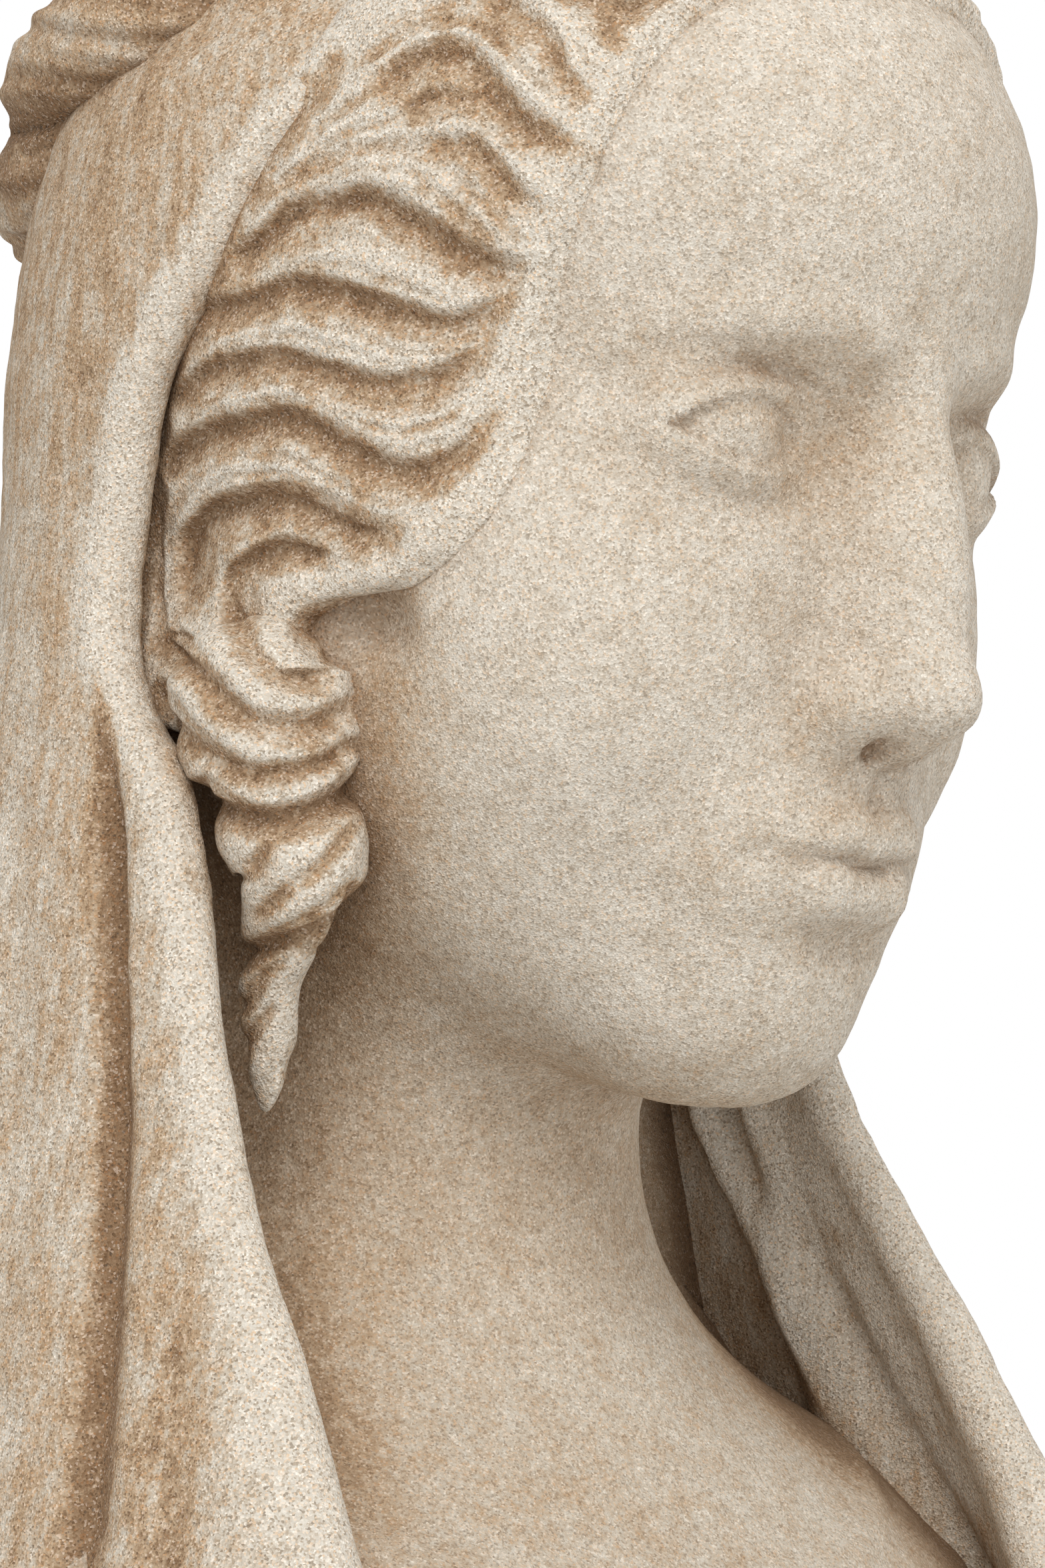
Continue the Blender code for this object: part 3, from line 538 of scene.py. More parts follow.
@dataclass(frozen=True)
class Locks:
    """Drawing of the hair: grooves between its waved locks, seen from the figure's right corner.

    A groove's line is pairs of places to the right of the head's middle and above it.
    """

    corner: Corner
    pit: tuple = (-28.0, -38.8)
    cuts: tuple = (
        Cut(3.0, 3.2, 0.35, (9.0, 93.5, 17.7, 98.6, 22.7, 99.9, 27.6, 97.0, 31.7, 92.1, 37.4, 88.4, 44.0,
            87.5, 50.6, 87.1, 57.1, 83.0, 62.5, 77.5, 67.0, 71.0)),
        Cut(3.0, 3.2, 0.35, (-0.5, 85.5, 7.9, 90.4, 12.8, 92.1, 17.7, 90.0, 21.9, 85.5, 26.8, 81.4, 33.3,
            80.2, 39.9, 81.0, 46.5, 78.9, 52.2, 75.7, 57.5, 72.5, 63.5, 68.0)),
        Cut(3.0, 3.2, 0.35, (-10.0, 75.5, -1.9, 80.6, 3.8, 83.0, 9.5, 81.0, 13.6, 76.5, 17.7, 72.4, 23.5,
            70.6, 30.1, 71.6, 36.6, 72.4, 44.0, 70.7, 50.0, 68.5, 57.0, 64.0)),
        Cut(2.2, 2.4, 0.3, (8.7, 74.8, 12.8, 73.2, 16.9, 69.9, 20.2, 65.8, 24.3, 62.5, 29.2, 61.3, 34.2,
            63.4, 39.5, 65.6, 46.0, 64.5, 52.0, 61.0)),
        Cut(2.4, 2.6, 0.3, (-6.9, 72.4, -1.9, 72.8, 3.8, 69.9, 7.1, 66.6, 10.0, 62.5, 12.0, 58.4, 15.7,
            55.2, 20.6, 53.3, 26.8, 55.2, 31.7, 58.3, 38.0, 60.0, 44.0, 57.5)),
        Cut(3.0, 3.6, 0.35, (-23.3, 56.0, -19.2, 58.4, -15.1, 61.3, -10.1, 63.2, -6.4, 62.4, -2.8, 59.3,
            1.3, 54.3, 5.4, 50.2, 9.5, 47.6, 14.5, 45.5, 19.8, 45.1, 25.1, 47.8, 29.6, 52.3)),
        Cut(2.4, 3.0, 0.35, (-18.3, 51.0, -15.1, 53.3, -11.4, 55.0, -6.9, 55.6, -1.9, 54.5, 2.2, 51.9, 6.3,
            49.0, 10.4, 46.9)),
        Cut(2.6, 3.0, 0.35, (-15.1, 46.5, -11.8, 47.1, -8.5, 46.9, -4.4, 46.0, -0.7, 42.8, 2.2, 39.2, 5.4,
            36.3, 9.5, 34.8, 14.5, 35.5, 19.0, 38.7, 22.7, 43.7)),
        Cut(3.4, 4.2, 0.4, (-52.8, 19.1, -47.9, 25.5, -43.8, 28.9, -39.7, 32.0, -35.6, 34.8, -30.6, 36.5,
            -26.5, 36.7, -22.4, 37.1, -18.3, 35.5, -13.4, 32.2, -8.5, 29.6, -3.6, 26.9, 1.3, 25.2, 6.3, 25.6,
            11.2, 28.9)),
        Cut(1.4, 1.4, 0.2, (-15.9, 40.0, -12.6, 38.7, -9.3, 36.7, -6.4, 33.8, -3.6, 31.2, 0.5, 28.9)),
        Cut(2.8, 3.4, 0.35, (-57.3, 10.9, -55.2, 15.0, -52.0, 17.8, -47.0, 18.7, -42.1, 20.3, -37.2, 21.9,
            -32.3, 22.1, -27.4, 20.7, -22.4, 19.1, -17.5, 17.8, -12.6, 15.9, -7.7, 15.8, -2.8, 17.0, 1.3, 20.3,
            5.4, 24.8)),
        Cut(2.6, 3.0, 0.35, (-59.2, -0.6, -56.1, 3.5, -52.0, 6.3, -46.2, 8.6, -40.5, 9.6, -34.7, 8.8, -29.8,
            7.2, -24.1, 5.7, -18.3, 5.1, -12.6, 5.7, -7.7, 8.0, -3.6, 11.7, 0.5, 16.6)),
        Cut(1.8, 2.0, 0.2, (-32.3, 5.5, -28.2, 3.3, -23.3, 1.8, -17.5, 1.4, -11.8, 2.5, -7.7, 5.0, -4.4,
            8.4)),
        Cut(3.0, 3.6, 0.35, (-59.2, -12.1, -57.3, -8.4, -54.4, -5.5, -50.3, -3.5, -44.6, -1.9, -38.8, -1.0,
            -33.9, -1.9, -29.8, -3.9, -25.7, -6.8, -20.8, -8.8, -15.9, -10.3, -11.0, -9.8, -6.0, -6.8, -1.9,
            -1.9, 1.3, 4.3)),
        Cut(3.4, 4.2, 0.4, (-53.6, -37.5, -54.3, -31.8, -54.3, -26.9, -53.2, -21.9, -50.3, -18.0, -45.4,
            -15.7, -39.7, -14.8, -34.7, -15.4, -30.6, -17.4, -26.5, -19.5, -21.6, -21.1, -15.9, -21.1)),
        Cut(2.6, 3.4, 0.35, (-45.8, -40.8, -47.0, -35.9, -46.9, -31.8, -45.4, -27.7, -42.1, -25.0, -37.2,
            -23.6, -32.3, -24.2, -28.2, -26.5)),
        Cut(2.6, 2.6, 0.0, (-23.3, 66.6, -29.8, 59.3, -34.7, 52.7, -41.3, 43.7, -45.4, 35.5, -52.0, 24.0,
            -57.3, 12.5, -60.2, 1.8, -61.4, -6.4, -62.5, -14.6, -63.3, -22.8, -64.3, -31.0, -65.3, -40.0, -65.9,
            -48.2)),
        Cut(1.3, 1.5, 0.0, (28.4, 55.2, 21.4, 40.4, 14.9, 32.2, 8.9, 19.1, 4.5, 7.6, -0.3, -3.9, -5.1,
            -12.9, -9.3, -20.3, -15.1, -26.5)),
        Cut(1.1, 0.9, 0.0, (-47.9, 20.7, -44.6, 23.6, -39.7, 26.9, -33.1, 29.3, -24.9, 30.3, -16.7, 28.7,
            -10.1, 25.6, -4.4, 22.3, -0.3, 21.1)),
        Cut(1.0, 0.8, 0.0, (-47.9, 19.1, -42.1, 23.0, -35.6, 25.5, -28.2, 25.6, -20.0, 23.2, -11.8, 19.9,
            -5.2, 18.7)),
        Cut(1.1, 0.9, 0.0, (-54.4, 9.2, -51.1, 12.3, -47.0, 14.6, -41.3, 16.2, -33.9, 16.4, -26.5, 14.1,
            -20.0, 11.5, -13.4, 10.3, -7.7, 12.1, -2.8, 15.8)),
        Cut(0.9, 0.7, 0.0, (-53.6, 7.2, -47.9, 11.3, -41.3, 13.2, -33.9, 12.9, -27.4, 10.7, -20.8, 8.6,
            -14.2, 8.0, -8.5, 10.0)),
        Cut(1.1, 0.9, 0.0, (-57.7, -4.7, -55.2, -1.9, -52.0, 1.7, -46.2, 4.1, -39.7, 5.4, -34.7, 4.3, -29.8,
            1.0, -23.3, -2.4, -16.7, -3.5, -11.0, -1.7, -6.0, 1.8, -1.9, 7.6)),
        Cut(0.9, 0.7, 0.0, (-56.1, -5.1, -52.0, -1.4, -46.2, 1.0, -39.7, 2.2, -33.9, 1.4, -28.2, -1.9,
            -22.4, -5.1, -15.9, -6.8, -10.1, -5.1, -5.2, -1.4)),
        Cut(1.2, 1.0, 0.0, (-58.7, -21.9, -56.9, -16.9, -54.0, -11.9, -48.7, -8.8, -42.1, -7.3, -34.7, -9.0,
            -28.2, -12.9, -21.6, -15.4, -15.1, -15.6, -8.5, -12.3, -3.6, -7.2, 1.3, 0.2)),
        Cut(0.9, 0.7, 0.0, (-56.5, -22.8, -53.6, -16.2, -47.9, -11.9, -41.3, -10.9, -34.7, -11.9, -28.2,
            -15.4, -21.6, -18.0, -15.1, -18.3, -9.3, -15.8, -4.4, -11.3)),
        Cut(1.2, 1.2, 0.0, (-59.2, -11.3, -60.0, -18.7, -60.2, -26.9, -59.7, -34.3, -59.2, -40.8)),
        Cut(0.9, 0.7, 0.0, (-57.3, -20.3, -57.5, -26.9, -57.1, -34.3, -56.4, -40.0)),
        Cut(1.2, 1.0, 0.0, (-34.7, 44.5, -31.5, 50.2, -27.4, 53.1, -22.4, 55.6, -17.5, 57.6)),
        Cut(1.0, 0.9, 0.0, (-36.4, 42.0, -31.5, 46.1, -26.5, 48.4, -20.0, 50.9, -15.1, 52.5)),
        Cut(1.6, 1.6, 0.2, (-44.6, 32.2, -41.3, 37.9, -36.4, 41.2, -29.8, 44.3, -23.3, 46.5, -16.7, 46.5,
            -11.0, 44.1, -5.2, 39.4, -0.3, 34.5, 4.6, 30.5, 10.4, 29.1, 16.9, 31.5)),
        Cut(1.0, 0.9, 0.0, (-42.1, 33.0, -38.0, 36.7, -32.3, 40.0, -25.7, 42.4, -19.2, 42.8, -13.4, 40.8,
            -7.7, 36.7, -2.8, 32.2, 3.0, 28.2)),
        Cut(1.2, 1.2, 0.0, (-28.2, 58.4, -23.3, 62.4, -18.3, 65.6, -12.6, 68.1, -6.9, 68.8, -1.9, 66.5, 2.2,
            62.5, 6.3, 58.3, 10.4, 54.7, 15.3, 52.3)),
        Cut(1.0, 0.9, 0.0, (-23.3, 65.0, -18.3, 68.3, -12.6, 70.7, -6.9, 71.6, -1.1, 69.5, 3.4, 65.4, 7.5,
            61.3, 11.2, 57.6)),
        Cut(1.1, 1.0, 0.0, (-24.1, 52.7, -20.0, 54.7, -15.1, 57.6, -10.1, 59.4, -6.0, 58.4, -1.9, 56.0)),
        Cut(1.2, 1.1, 0.0, (-5.2, 50.6, -0.3, 49.0, 3.8, 45.3, 7.1, 42.8, 12.0, 41.2, 17.7, 42.4, 22.7,
            46.9)),
        Cut(1.1, 1.0, 0.0, (-6.9, 42.8, -3.6, 40.6, -0.7, 37.5, 2.6, 33.8, 6.3, 31.8, 11.2, 32.0, 16.1,
            34.2)),
        Cut(1.0, 0.9, 0.0, (12.0, 66.6, 15.3, 62.5, 17.7, 59.3, 21.9, 57.2, 27.6, 58.0)),
        Cut(2.4, 3.2, 0.35, (-61.4, -39.2, -58.2, -40.2, -55.0, -41.8, -52.5, -45.0, -48.6, -49.8, -44.8,
            -52.7, -39.6, -54.6, -34.5, -54.6, -29.4, -53.0, -24.9, -50.7)),
        Cut(2.2, 2.6, 0.3, (-44.4, -31.5, -44.9, -35.3, -44.1, -39.8, -41.6, -43.7, -37.7, -46.1, -33.2,
            -46.4, -28.7, -45.3)),
        Cut(2.0, 2.6, 0.3, (-61.4, -47.5, -58.9, -50.7, -55.0, -55.2, -51.2, -59.2, -46.0, -62.1, -39.6,
            -63.0, -33.9, -62.3, -28.7, -59.7, -24.2, -57.0)),
        Cut(2.6, 4.0, 0.4, (-53.1, -63.6, -50.5, -66.8, -47.3, -69.3, -42.2, -70.7, -36.4, -70.5, -30.6,
            -68.1, -25.5, -64.5, -22.6, -61.3)),
        Cut(1.6, 1.6, 0.1, (-44.8, -82.8, -42.2, -78.3, -39.0, -74.5, -34.5, -71.4, -29.4, -68.8, -25.5,
            -67.4)),
        Cut(1.4, 1.3, 0.1, (-43.5, -89.2, -39.6, -85.7, -35.8, -82.8, -31.3, -79.6, -27.4, -75.1, -24.9,
            -70.6)),
        Cut(2.2, 3.4, 0.4, (-48.6, -95.0, -44.8, -94.2, -40.3, -92.9, -34.5, -90.5, -29.4, -87.3, -24.9,
            -82.2)),
        Cut(1.4, 1.5, 0.1, (-46.0, -105.9, -43.5, -102.0, -40.9, -98.2, -37.1, -95.6)),
        Cut(1.2, 1.2, 0.1, (-47.3, -116.2, -44.8, -111.7, -42.2, -107.2, -39.0, -103.3)),
        Cut(0.9, 0.7, 0.0, (-49.9, -48.2, -46.0, -54.6, -40.9, -57.8, -34.5, -58.1, -29.4, -56.5)),
        Cut(0.9, 0.7, 0.0, (-52.5, -59.7, -47.3, -64.8, -40.9, -67.1, -34.5, -66.4, -29.4, -64.2)),
    )

    def carve(self, p: np.ndarray, side: Side) -> tuple:
        """Depth of the grooves at points on one side of the head.

        Args:
            p: points on the figure's left, which are turned over to the drawn side.
            side: the side that they will stand on; the left is drawn more freely.

        Returns:
            Depth, as the root of the sum of powers of the grooves' depths, and how brown each point is painted:
            patina with painted shade in the grooves, and painted shade in the pit.
        """
        plan = self.corner.drawn(p * np.array((-1.0, 1.0, 1.0))).reshape(-1, 2)
        if side is Side.LEFT:
            plan = plan + 1.7 * np.sin(plan[:, ::-1] / np.array((15.0, 19.0)) + np.array((0.4, 2.0)))
        plan = plan + 0.22 * np.sin(plan[:, ::-1] * 0.55 + 0.8 * np.sin(plan * 0.31))
        total, brown = np.zeros(len(plan)), np.zeros(len(plan))
        for cut in self.cuts:
            t = np.linspace(0.0, 1.0, 5 * len(cut.line))
            line = spline(np.reshape(cut.line, (-1, 2)), t)
            reach = 3.5 * cut.width + 1.0
            near = np.flatnonzero(np.all((plan > line.min(0) - reach) & (plan < line.max(0) + reach), axis=1))
            if not len(near):
                continue
            step = np.gradient(line, axis=0)
            length = np.linalg.norm(step, axis=1)
            way = step / length[:, None]
            gap = plan[near, None] - line[None]
            first = np.argmin(np.sum(gap * gap, axis=2), axis=1)
            gap = gap[np.arange(len(near)), first]
            ahead = way[first]
            over = ahead[:, 0] * gap[:, 1] - ahead[:, 1] * gap[:, 0]
            past = np.clip(np.abs(np.sum(gap * ahead, axis=1)) - length[first], 0.0, None)
            width = cut.width * (1.0 - cut.lean * np.tanh(over / 0.6))
            fade = np.clip(np.minimum(t, 1.0 - t)[first] / 0.16, 0.0, 1.0) ** 0.7
            shape = np.exp(-(over / width) ** 2 - (past / 1.2) ** 2) * fade
            # Brown along each groove: patina with painted shade under the crest.
            shade_mark = np.exp(-(over / (1.05 * width)) ** 2 - (past / 1.6) ** 2) * fade
            total[near] += (cut.depth * shape) ** 2.5
            brown[near] = np.maximum(brown[near], shade_mark * min(cut.depth / 4.2, 0.85))
        total = total ** 0.4
        # The pit under the hair's edge is carved, and painted brown as shade.
        away = (plan - np.array(self.pit)) / np.array((6.4, 4.4))
        pit = np.exp(-np.sum(away * away, axis=1) ** 1.5)
        shape = p.shape[:-1]
        return (total + 8.0 * pit).reshape(shape), np.maximum(brown, pit).reshape(shape)


@dataclass(frozen=True)
class HairForm:
    """Sizes of the waved hair beside the face, for the figure's left."""

    locks: Locks
    hairline: tuple = ((0.0, 57.0), (16.0, 57.5), (32.0, 50.0), (45.0, 32.0), (52.0, 10.0), (54.0, -8.0),
                       (59.5, -25.0), (68.5, -37.5), (78.5, -43.0), (84.0, -58.0))
    back: tuple = ((0.0, -50.0, 92.0), (38.0, -40.0, 79.0), (62.0, -18.0, 50.0), (73.0, 10.0, 20.0),
                   (75.0, 26.0, -8.0), (74.0, 32.0, -30.0), (71.0, 30.0, -64.0))
    edge_body: float = 2.6
    body: float = 8.4


def place(points: np.ndarray, box_low: Vector, box_high: Vector) -> np.ndarray:
    """Moves points from the middle of the head, in parts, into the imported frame, in metres."""
    middle = 0.5 * (np.array(box_low) + np.array(box_high))
    origin = np.array((middle[0], middle[1] - CENTRE_FORWARD * PART, box_low[2] - BASE * PART))
    out = points * PART + origin
    out[..., 2] = np.maximum(out[..., 2], box_low[2])
    return out


class Block:
    """The stone block: puts each carved surface into the scene as a piece of the bust."""

    def __init__(self) -> None:
        """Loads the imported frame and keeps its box."""
        self.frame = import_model()
        self.cad_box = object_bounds()
        self.low, self.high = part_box(NODE)
        self.pieces: list = []

    def add(self, name: str, points: np.ndarray, fields: dict, material: bpy.types.Material,
            mirrored: bool = False) -> bpy.types.Object:
        """Makes a piece from a grid whose seams and ends are already drawn together.

        Args:
            name: the piece's name.
            points: grid of points in parts.
            fields: values at the points, each kept as an attribute of that name.
            material: its finish.
            mirrored: whether the grid was mirrored, which turns its faces inside out.

        Returns:
            The new object, which rides on the bust's body and stands for its node.
        """
        columns, rows = points.shape[:2]
        index = np.arange(columns * rows).reshape(columns, rows)
        quads = np.stack([index[:-1, :-1], index[1:, :-1], index[1:, 1:], index[:-1, 1:]], axis=-1)
        quads = quads.reshape(-1, 4)
        if mirrored:
            quads = quads[:, ::-1]
        mesh = bpy.data.meshes.new(name)
        mesh.vertices.add(columns * rows)
        mesh.vertices.foreach_set("co", place(points, self.low, self.high).reshape(-1).astype(np.float32))
        mesh.loops.add(quads.size)
        mesh.loops.foreach_set("vertex_index", quads.reshape(-1).astype(np.int32))
        mesh.polygons.add(len(quads))
        mesh.polygons.foreach_set("loop_start", np.arange(0, quads.size, 4, dtype=np.int32))
        mesh.update(calc_edges=True)
        for key, values in fields.items():
            layer = mesh.attributes.new(key, "FLOAT", "POINT")
            values = np.broadcast_to(values, (columns, rows)).reshape(-1)
            layer.data.foreach_set("value", values.astype(np.float32))
        mesh.validate()
        self.close(mesh)
        mesh.shade_smooth()
        mesh.materials.append(material)
        piece = bpy.data.objects.new(name, mesh)
        bpy.context.scene.collection.objects.link(piece)
        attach(piece, BODY)
        self.pieces.append(piece)
        log.info("%s: %d points, about %d triangles", name, len(mesh.vertices), 2 * len(mesh.polygons))
        return piece

    @staticmethod
    def close(mesh: bpy.types.Mesh) -> None:
        """Joins the seams and poles of a grid, drops its collapsed faces and turns all faces outward."""
        bm = bmesh.new()
        bm.from_mesh(mesh)
        bmesh.ops.remove_doubles(bm, verts=bm.verts[:], dist=0.00002)
        bmesh.ops.dissolve_degenerate(bm, edges=bm.edges[:], dist=0.00001)
        open_edges = [edge for edge in bm.edges if edge.is_boundary]
        if open_edges:
            bmesh.ops.holes_fill(bm, edges=open_edges, sides=0)
            bmesh.ops.triangulate(bm, faces=[f for f in bm.faces if len(f.verts) > 4])
        bmesh.ops.recalc_face_normals(bm, faces=bm.faces[:])
        bm.to_mesh(mesh)
        bm.free()


@dataclass(frozen=True)
class Sandstone:
    """Finish of the weathered stone: colours from pale crest to dark pit, paler on crests and edges by wear and
    painted highlight, browner in hollows by patina and painted shade, and sizes of its grains.
    """

    pale: tuple = (0.640, 0.590, 0.515)
    body: tuple = (0.545, 0.480, 0.395)
    tan: tuple = (0.470, 0.345, 0.228)
    brown: tuple = (0.262, 0.168, 0.098)
    pit: tuple = (0.10, 0.075, 0.055)
    quartz: tuple = (0.74, 0.70, 0.64)
    grains: tuple = ((0.0, (0.50, 0.45, 0.40)), (0.12, (0.72, 0.64, 0.55)), (0.30, (0.95, 0.91, 0.86)),
                     (0.60, (1.0, 1.0, 0.99)), (0.76, (1.20, 1.20, 1.19)), (0.88, (1.10, 0.88, 0.68)),
                     (1.0, (1.50, 1.50, 1.50)))
    grain: float = 0.00036
    roughness: float = 0.93

    def make(self, name: str, streaks: float, tint: float, grime_and_painted_shade: float, contrast: float,
             patchy: float) -> bpy.types.Material:
        """Builds the shader.

        Args:
            name: name of the material.
            streaks: strength of the upright brown streaks, from 0 to 1.
            tint: how much of the body colour is tan, from 0 to 1.
            grime_and_painted_shade: how brown crevices and sheltered places are made from their ambient
                occlusion, which is painted shade with some patina.
            contrast: how strongly the grains differ, from 0 to 1.
            patchy: strength of the pale and brown patches.

        Returns:
            The material, whose colour comes from patches, painted shade with patina in hollows and crevices,
            crests painted paler by wear and highlight, streaks, grains and pores.
        """
        material = bpy.data.materials.new(name)
        material.use_nodes = True
        tree = Tree(material.node_tree)
        place_at = tree.node("ShaderNodeTexCoord").outputs["Object"]
        patches = tree.noise(place_at, 22.0, 4.0, 0.6)
        mottle = tree.noise(place_at, 160.0, 3.0, 0.6)
        fine = tree.noise(place_at, 620.0, 3.0, 0.65)
        broad = tree.noise(tree.stretch(place_at, (95.0, 95.0, 8.0)), 1.0, 4.0, 0.55)
        narrow = tree.noise(tree.stretch(place_at, (380.0, 380.0, 24.0)), 1.0, 3.0, 0.55)
        streak = tree.total(0.0, (broad, 0.38, 0.0), (narrow, 0.62, 0.0))
        hollow = tree.attribute("hollow")
        rough = tree.math("MULTIPLY", tree.total(0.0, (fine, 1.0, 0.5)), tree.total(0.9, (hollow, 1.3, 0.0)))
        # Painted shade: the occlusion terms and the hollow attribute darken crevices and hollows towards brown,
        # with some patina; the crest attribute paints crests paler, by wear and painted highlight.
        near, far = tree.occlusion(0.010), tree.occlusion(0.045)
        shade = tree.total(tint, (near, -1.1 * grime_and_painted_shade, 1.0), (far, -0.8 * grime_and_painted_shade, 1.0), (hollow, 0.85, 0.0),
                           (patches, 0.9 * patchy, 0.5), (mottle, 0.9 * patchy, 0.5),
                           (streak, 1.6 * streaks, 0.48),
                           (rough, contrast, 0.0), (tree.attribute("crest"), -0.42, 0.0))
        colour = tree.ramp(shade, ((0.0, self.pale), (0.22, self.body), (0.55, self.tan), (1.0, self.brown)))
        cell, sizes = tree.cells(place_at, 1.0 / self.grain)
        colour = tree.mix("MULTIPLY", contrast, colour, tree.ramp(cell, self.grains))
        white = tree.math("MULTIPLY", tree.math("GREATER_THAN", cell, 0.90), 0.26 * contrast)
        colour = tree.mix("MIX", white, colour, self.quartz)
        pore_size = tree.total(0.04, (shade, 0.20, 0.0))
        chance, pore = tree.cells(place_at, 0.42 / self.grain)
        rare = tree.math("LESS_THAN", chance, 0.26)
        dark = tree.math("MULTIPLY", tree.math("LESS_THAN", pore, pore_size), rare)
        colour = tree.mix("MIX", tree.math("MULTIPLY", dark, 0.6), colour, self.pit)
        dent = tree.math("MULTIPLY", tree.math("LESS_THAN", pore, 0.13), rare)
        rise = tree.total(0.0, (sizes, 0.5, 0.0), (mottle, 0.8, 0.0), (fine, 1.6 * contrast, 0.0),
                          (dent, -0.8, 0.0))
        bump = tree.node("ShaderNodeBump")
        bump.inputs["Strength"].default_value = 0.70
        bump.inputs["Distance"].default_value = 0.0005
        tree.link(rise, bump.inputs["Height"])
        shader = tree.tree.nodes["Principled BSDF"]
        shader.inputs["Roughness"].default_value = self.roughness
        shader.inputs["Specular IOR Level"].default_value = 0.22
        tree.link(colour, shader.inputs["Base Color"])
        tree.link(bump.outputs["Normal"], shader.inputs["Normal"])
        return material


class Tree:
    """Short names for the nodes that the stone's shader is built from."""

    def __init__(self, tree: bpy.types.NodeTree) -> None:
        """Keeps the tree that the nodes go in."""
        self.tree = tree

    def node(self, kind: str) -> bpy.types.Node:
        """Adds a node of a kind."""
        return self.tree.nodes.new(kind)

    def link(self, value: object, socket: bpy.types.NodeSocket) -> None:
        """Sets a socket to a number or colour, or links an output to it."""
        if isinstance(value, bpy.types.NodeSocket):
            self.tree.links.new(value, socket)
        elif isinstance(value, tuple):
            socket.default_value = (*value, 1.0)
        else:
            socket.default_value = value

    def math(self, operation: str, a: object, b: object) -> bpy.types.NodeSocket:
        """One sum of two values."""
        node = self.node("ShaderNodeMath")
        node.operation = operation
        self.link(a, node.inputs[0])
        self.link(b, node.inputs[1])
        return node.outputs[0]

    def total(self, start: float, *terms: tuple) -> bpy.types.NodeSocket:
        """Start plus the sum of weight * (value - middle) over terms of value, weight and middle."""
        result = start - sum(weight * middle for _, weight, middle in terms)
        for value, weight, _ in terms:
            node = self.node("ShaderNodeMath")
            node.operation = "MULTIPLY_ADD"
            for part, socket in zip((value, weight, result), node.inputs):
                self.link(part, socket)
            result = node.outputs[0]
        return result

    def noise(self, place_at: object, scale: float, detail: float, rough: float) -> bpy.types.NodeSocket:
        """Cloudy noise from 0 to 1."""
        node = self.node("ShaderNodeTexNoise")
        node.inputs["Scale"].default_value = scale
        node.inputs["Detail"].default_value = detail
        node.inputs["Roughness"].default_value = rough
        self.link(place_at, node.inputs["Vector"])
        return node.outputs["Fac"]

    def stretch(self, place_at: object, scale: tuple) -> bpy.types.NodeSocket:
        """Coordinates multiplied along each axis."""
        node = self.node("ShaderNodeMapping")
        node.inputs["Scale"].default_value = scale
        self.link(place_at, node.inputs["Vector"])
        return node.outputs["Vector"]

    def attribute(self, name: str) -> bpy.types.NodeSocket:
        """A value kept at the mesh's points."""
        node = self.node("ShaderNodeAttribute")
        node.attribute_name = name
        return node.outputs["Fac"]

    def occlusion(self, reach: float) -> bpy.types.NodeSocket:
        """How open the surface is within a reach: 1 in the open and 0 in a crevice."""
        node = self.node("ShaderNodeAmbientOcclusion")
        node.samples = 2
        node.inputs["Distance"].default_value = reach
        return node.outputs["AO"]

    def cells(self, place_at: object, scale: float) -> tuple:
        """Grains of stone: a random value for each, and the distance to its middle."""
        node = self.node("ShaderNodeTexVoronoi")
        node.inputs["Scale"].default_value = scale
        self.link(place_at, node.inputs["Vector"])
        grey = self.node("ShaderNodeSeparateColor")
        self.link(node.outputs["Color"], grey.inputs["Color"])
        return grey.outputs["Red"], node.outputs["Distance"]

    def ramp(self, value: object, stops: tuple) -> bpy.types.NodeSocket:
        """Colours along a value, from stops of place and colour."""
        node = self.node("ShaderNodeValToRGB")
        elements = node.color_ramp.elements
        while len(elements) < len(stops):
            elements.new(0.5)
        for element, (position, colour) in zip(elements, stops):
            element.position = position
            element.color = (*colour, 1.0)
        self.link(value, node.inputs["Fac"])
        return node.outputs["Color"]

    def mix(self, blend: str, factor: object, a: object, b: object) -> bpy.types.NodeSocket:
        """Mixes two colours."""
        node = self.node("ShaderNodeMix")
        node.data_type = "RGBA"
        node.blend_type = blend
        self.link(factor, node.inputs[0])
        self.link(a, node.inputs[6])
        self.link(b, node.inputs[7])
        return node.outputs[2]


@dataclass(frozen=True)
class ShadeMark:
    """A mark of painted shade on both sides of the skin, in a crease or under an overhang: its line, its spread
    and depth, and whose axes it is in.
    """

    start: tuple
    end: tuple
    reach: float
    depth: float
    bowed: bool = True


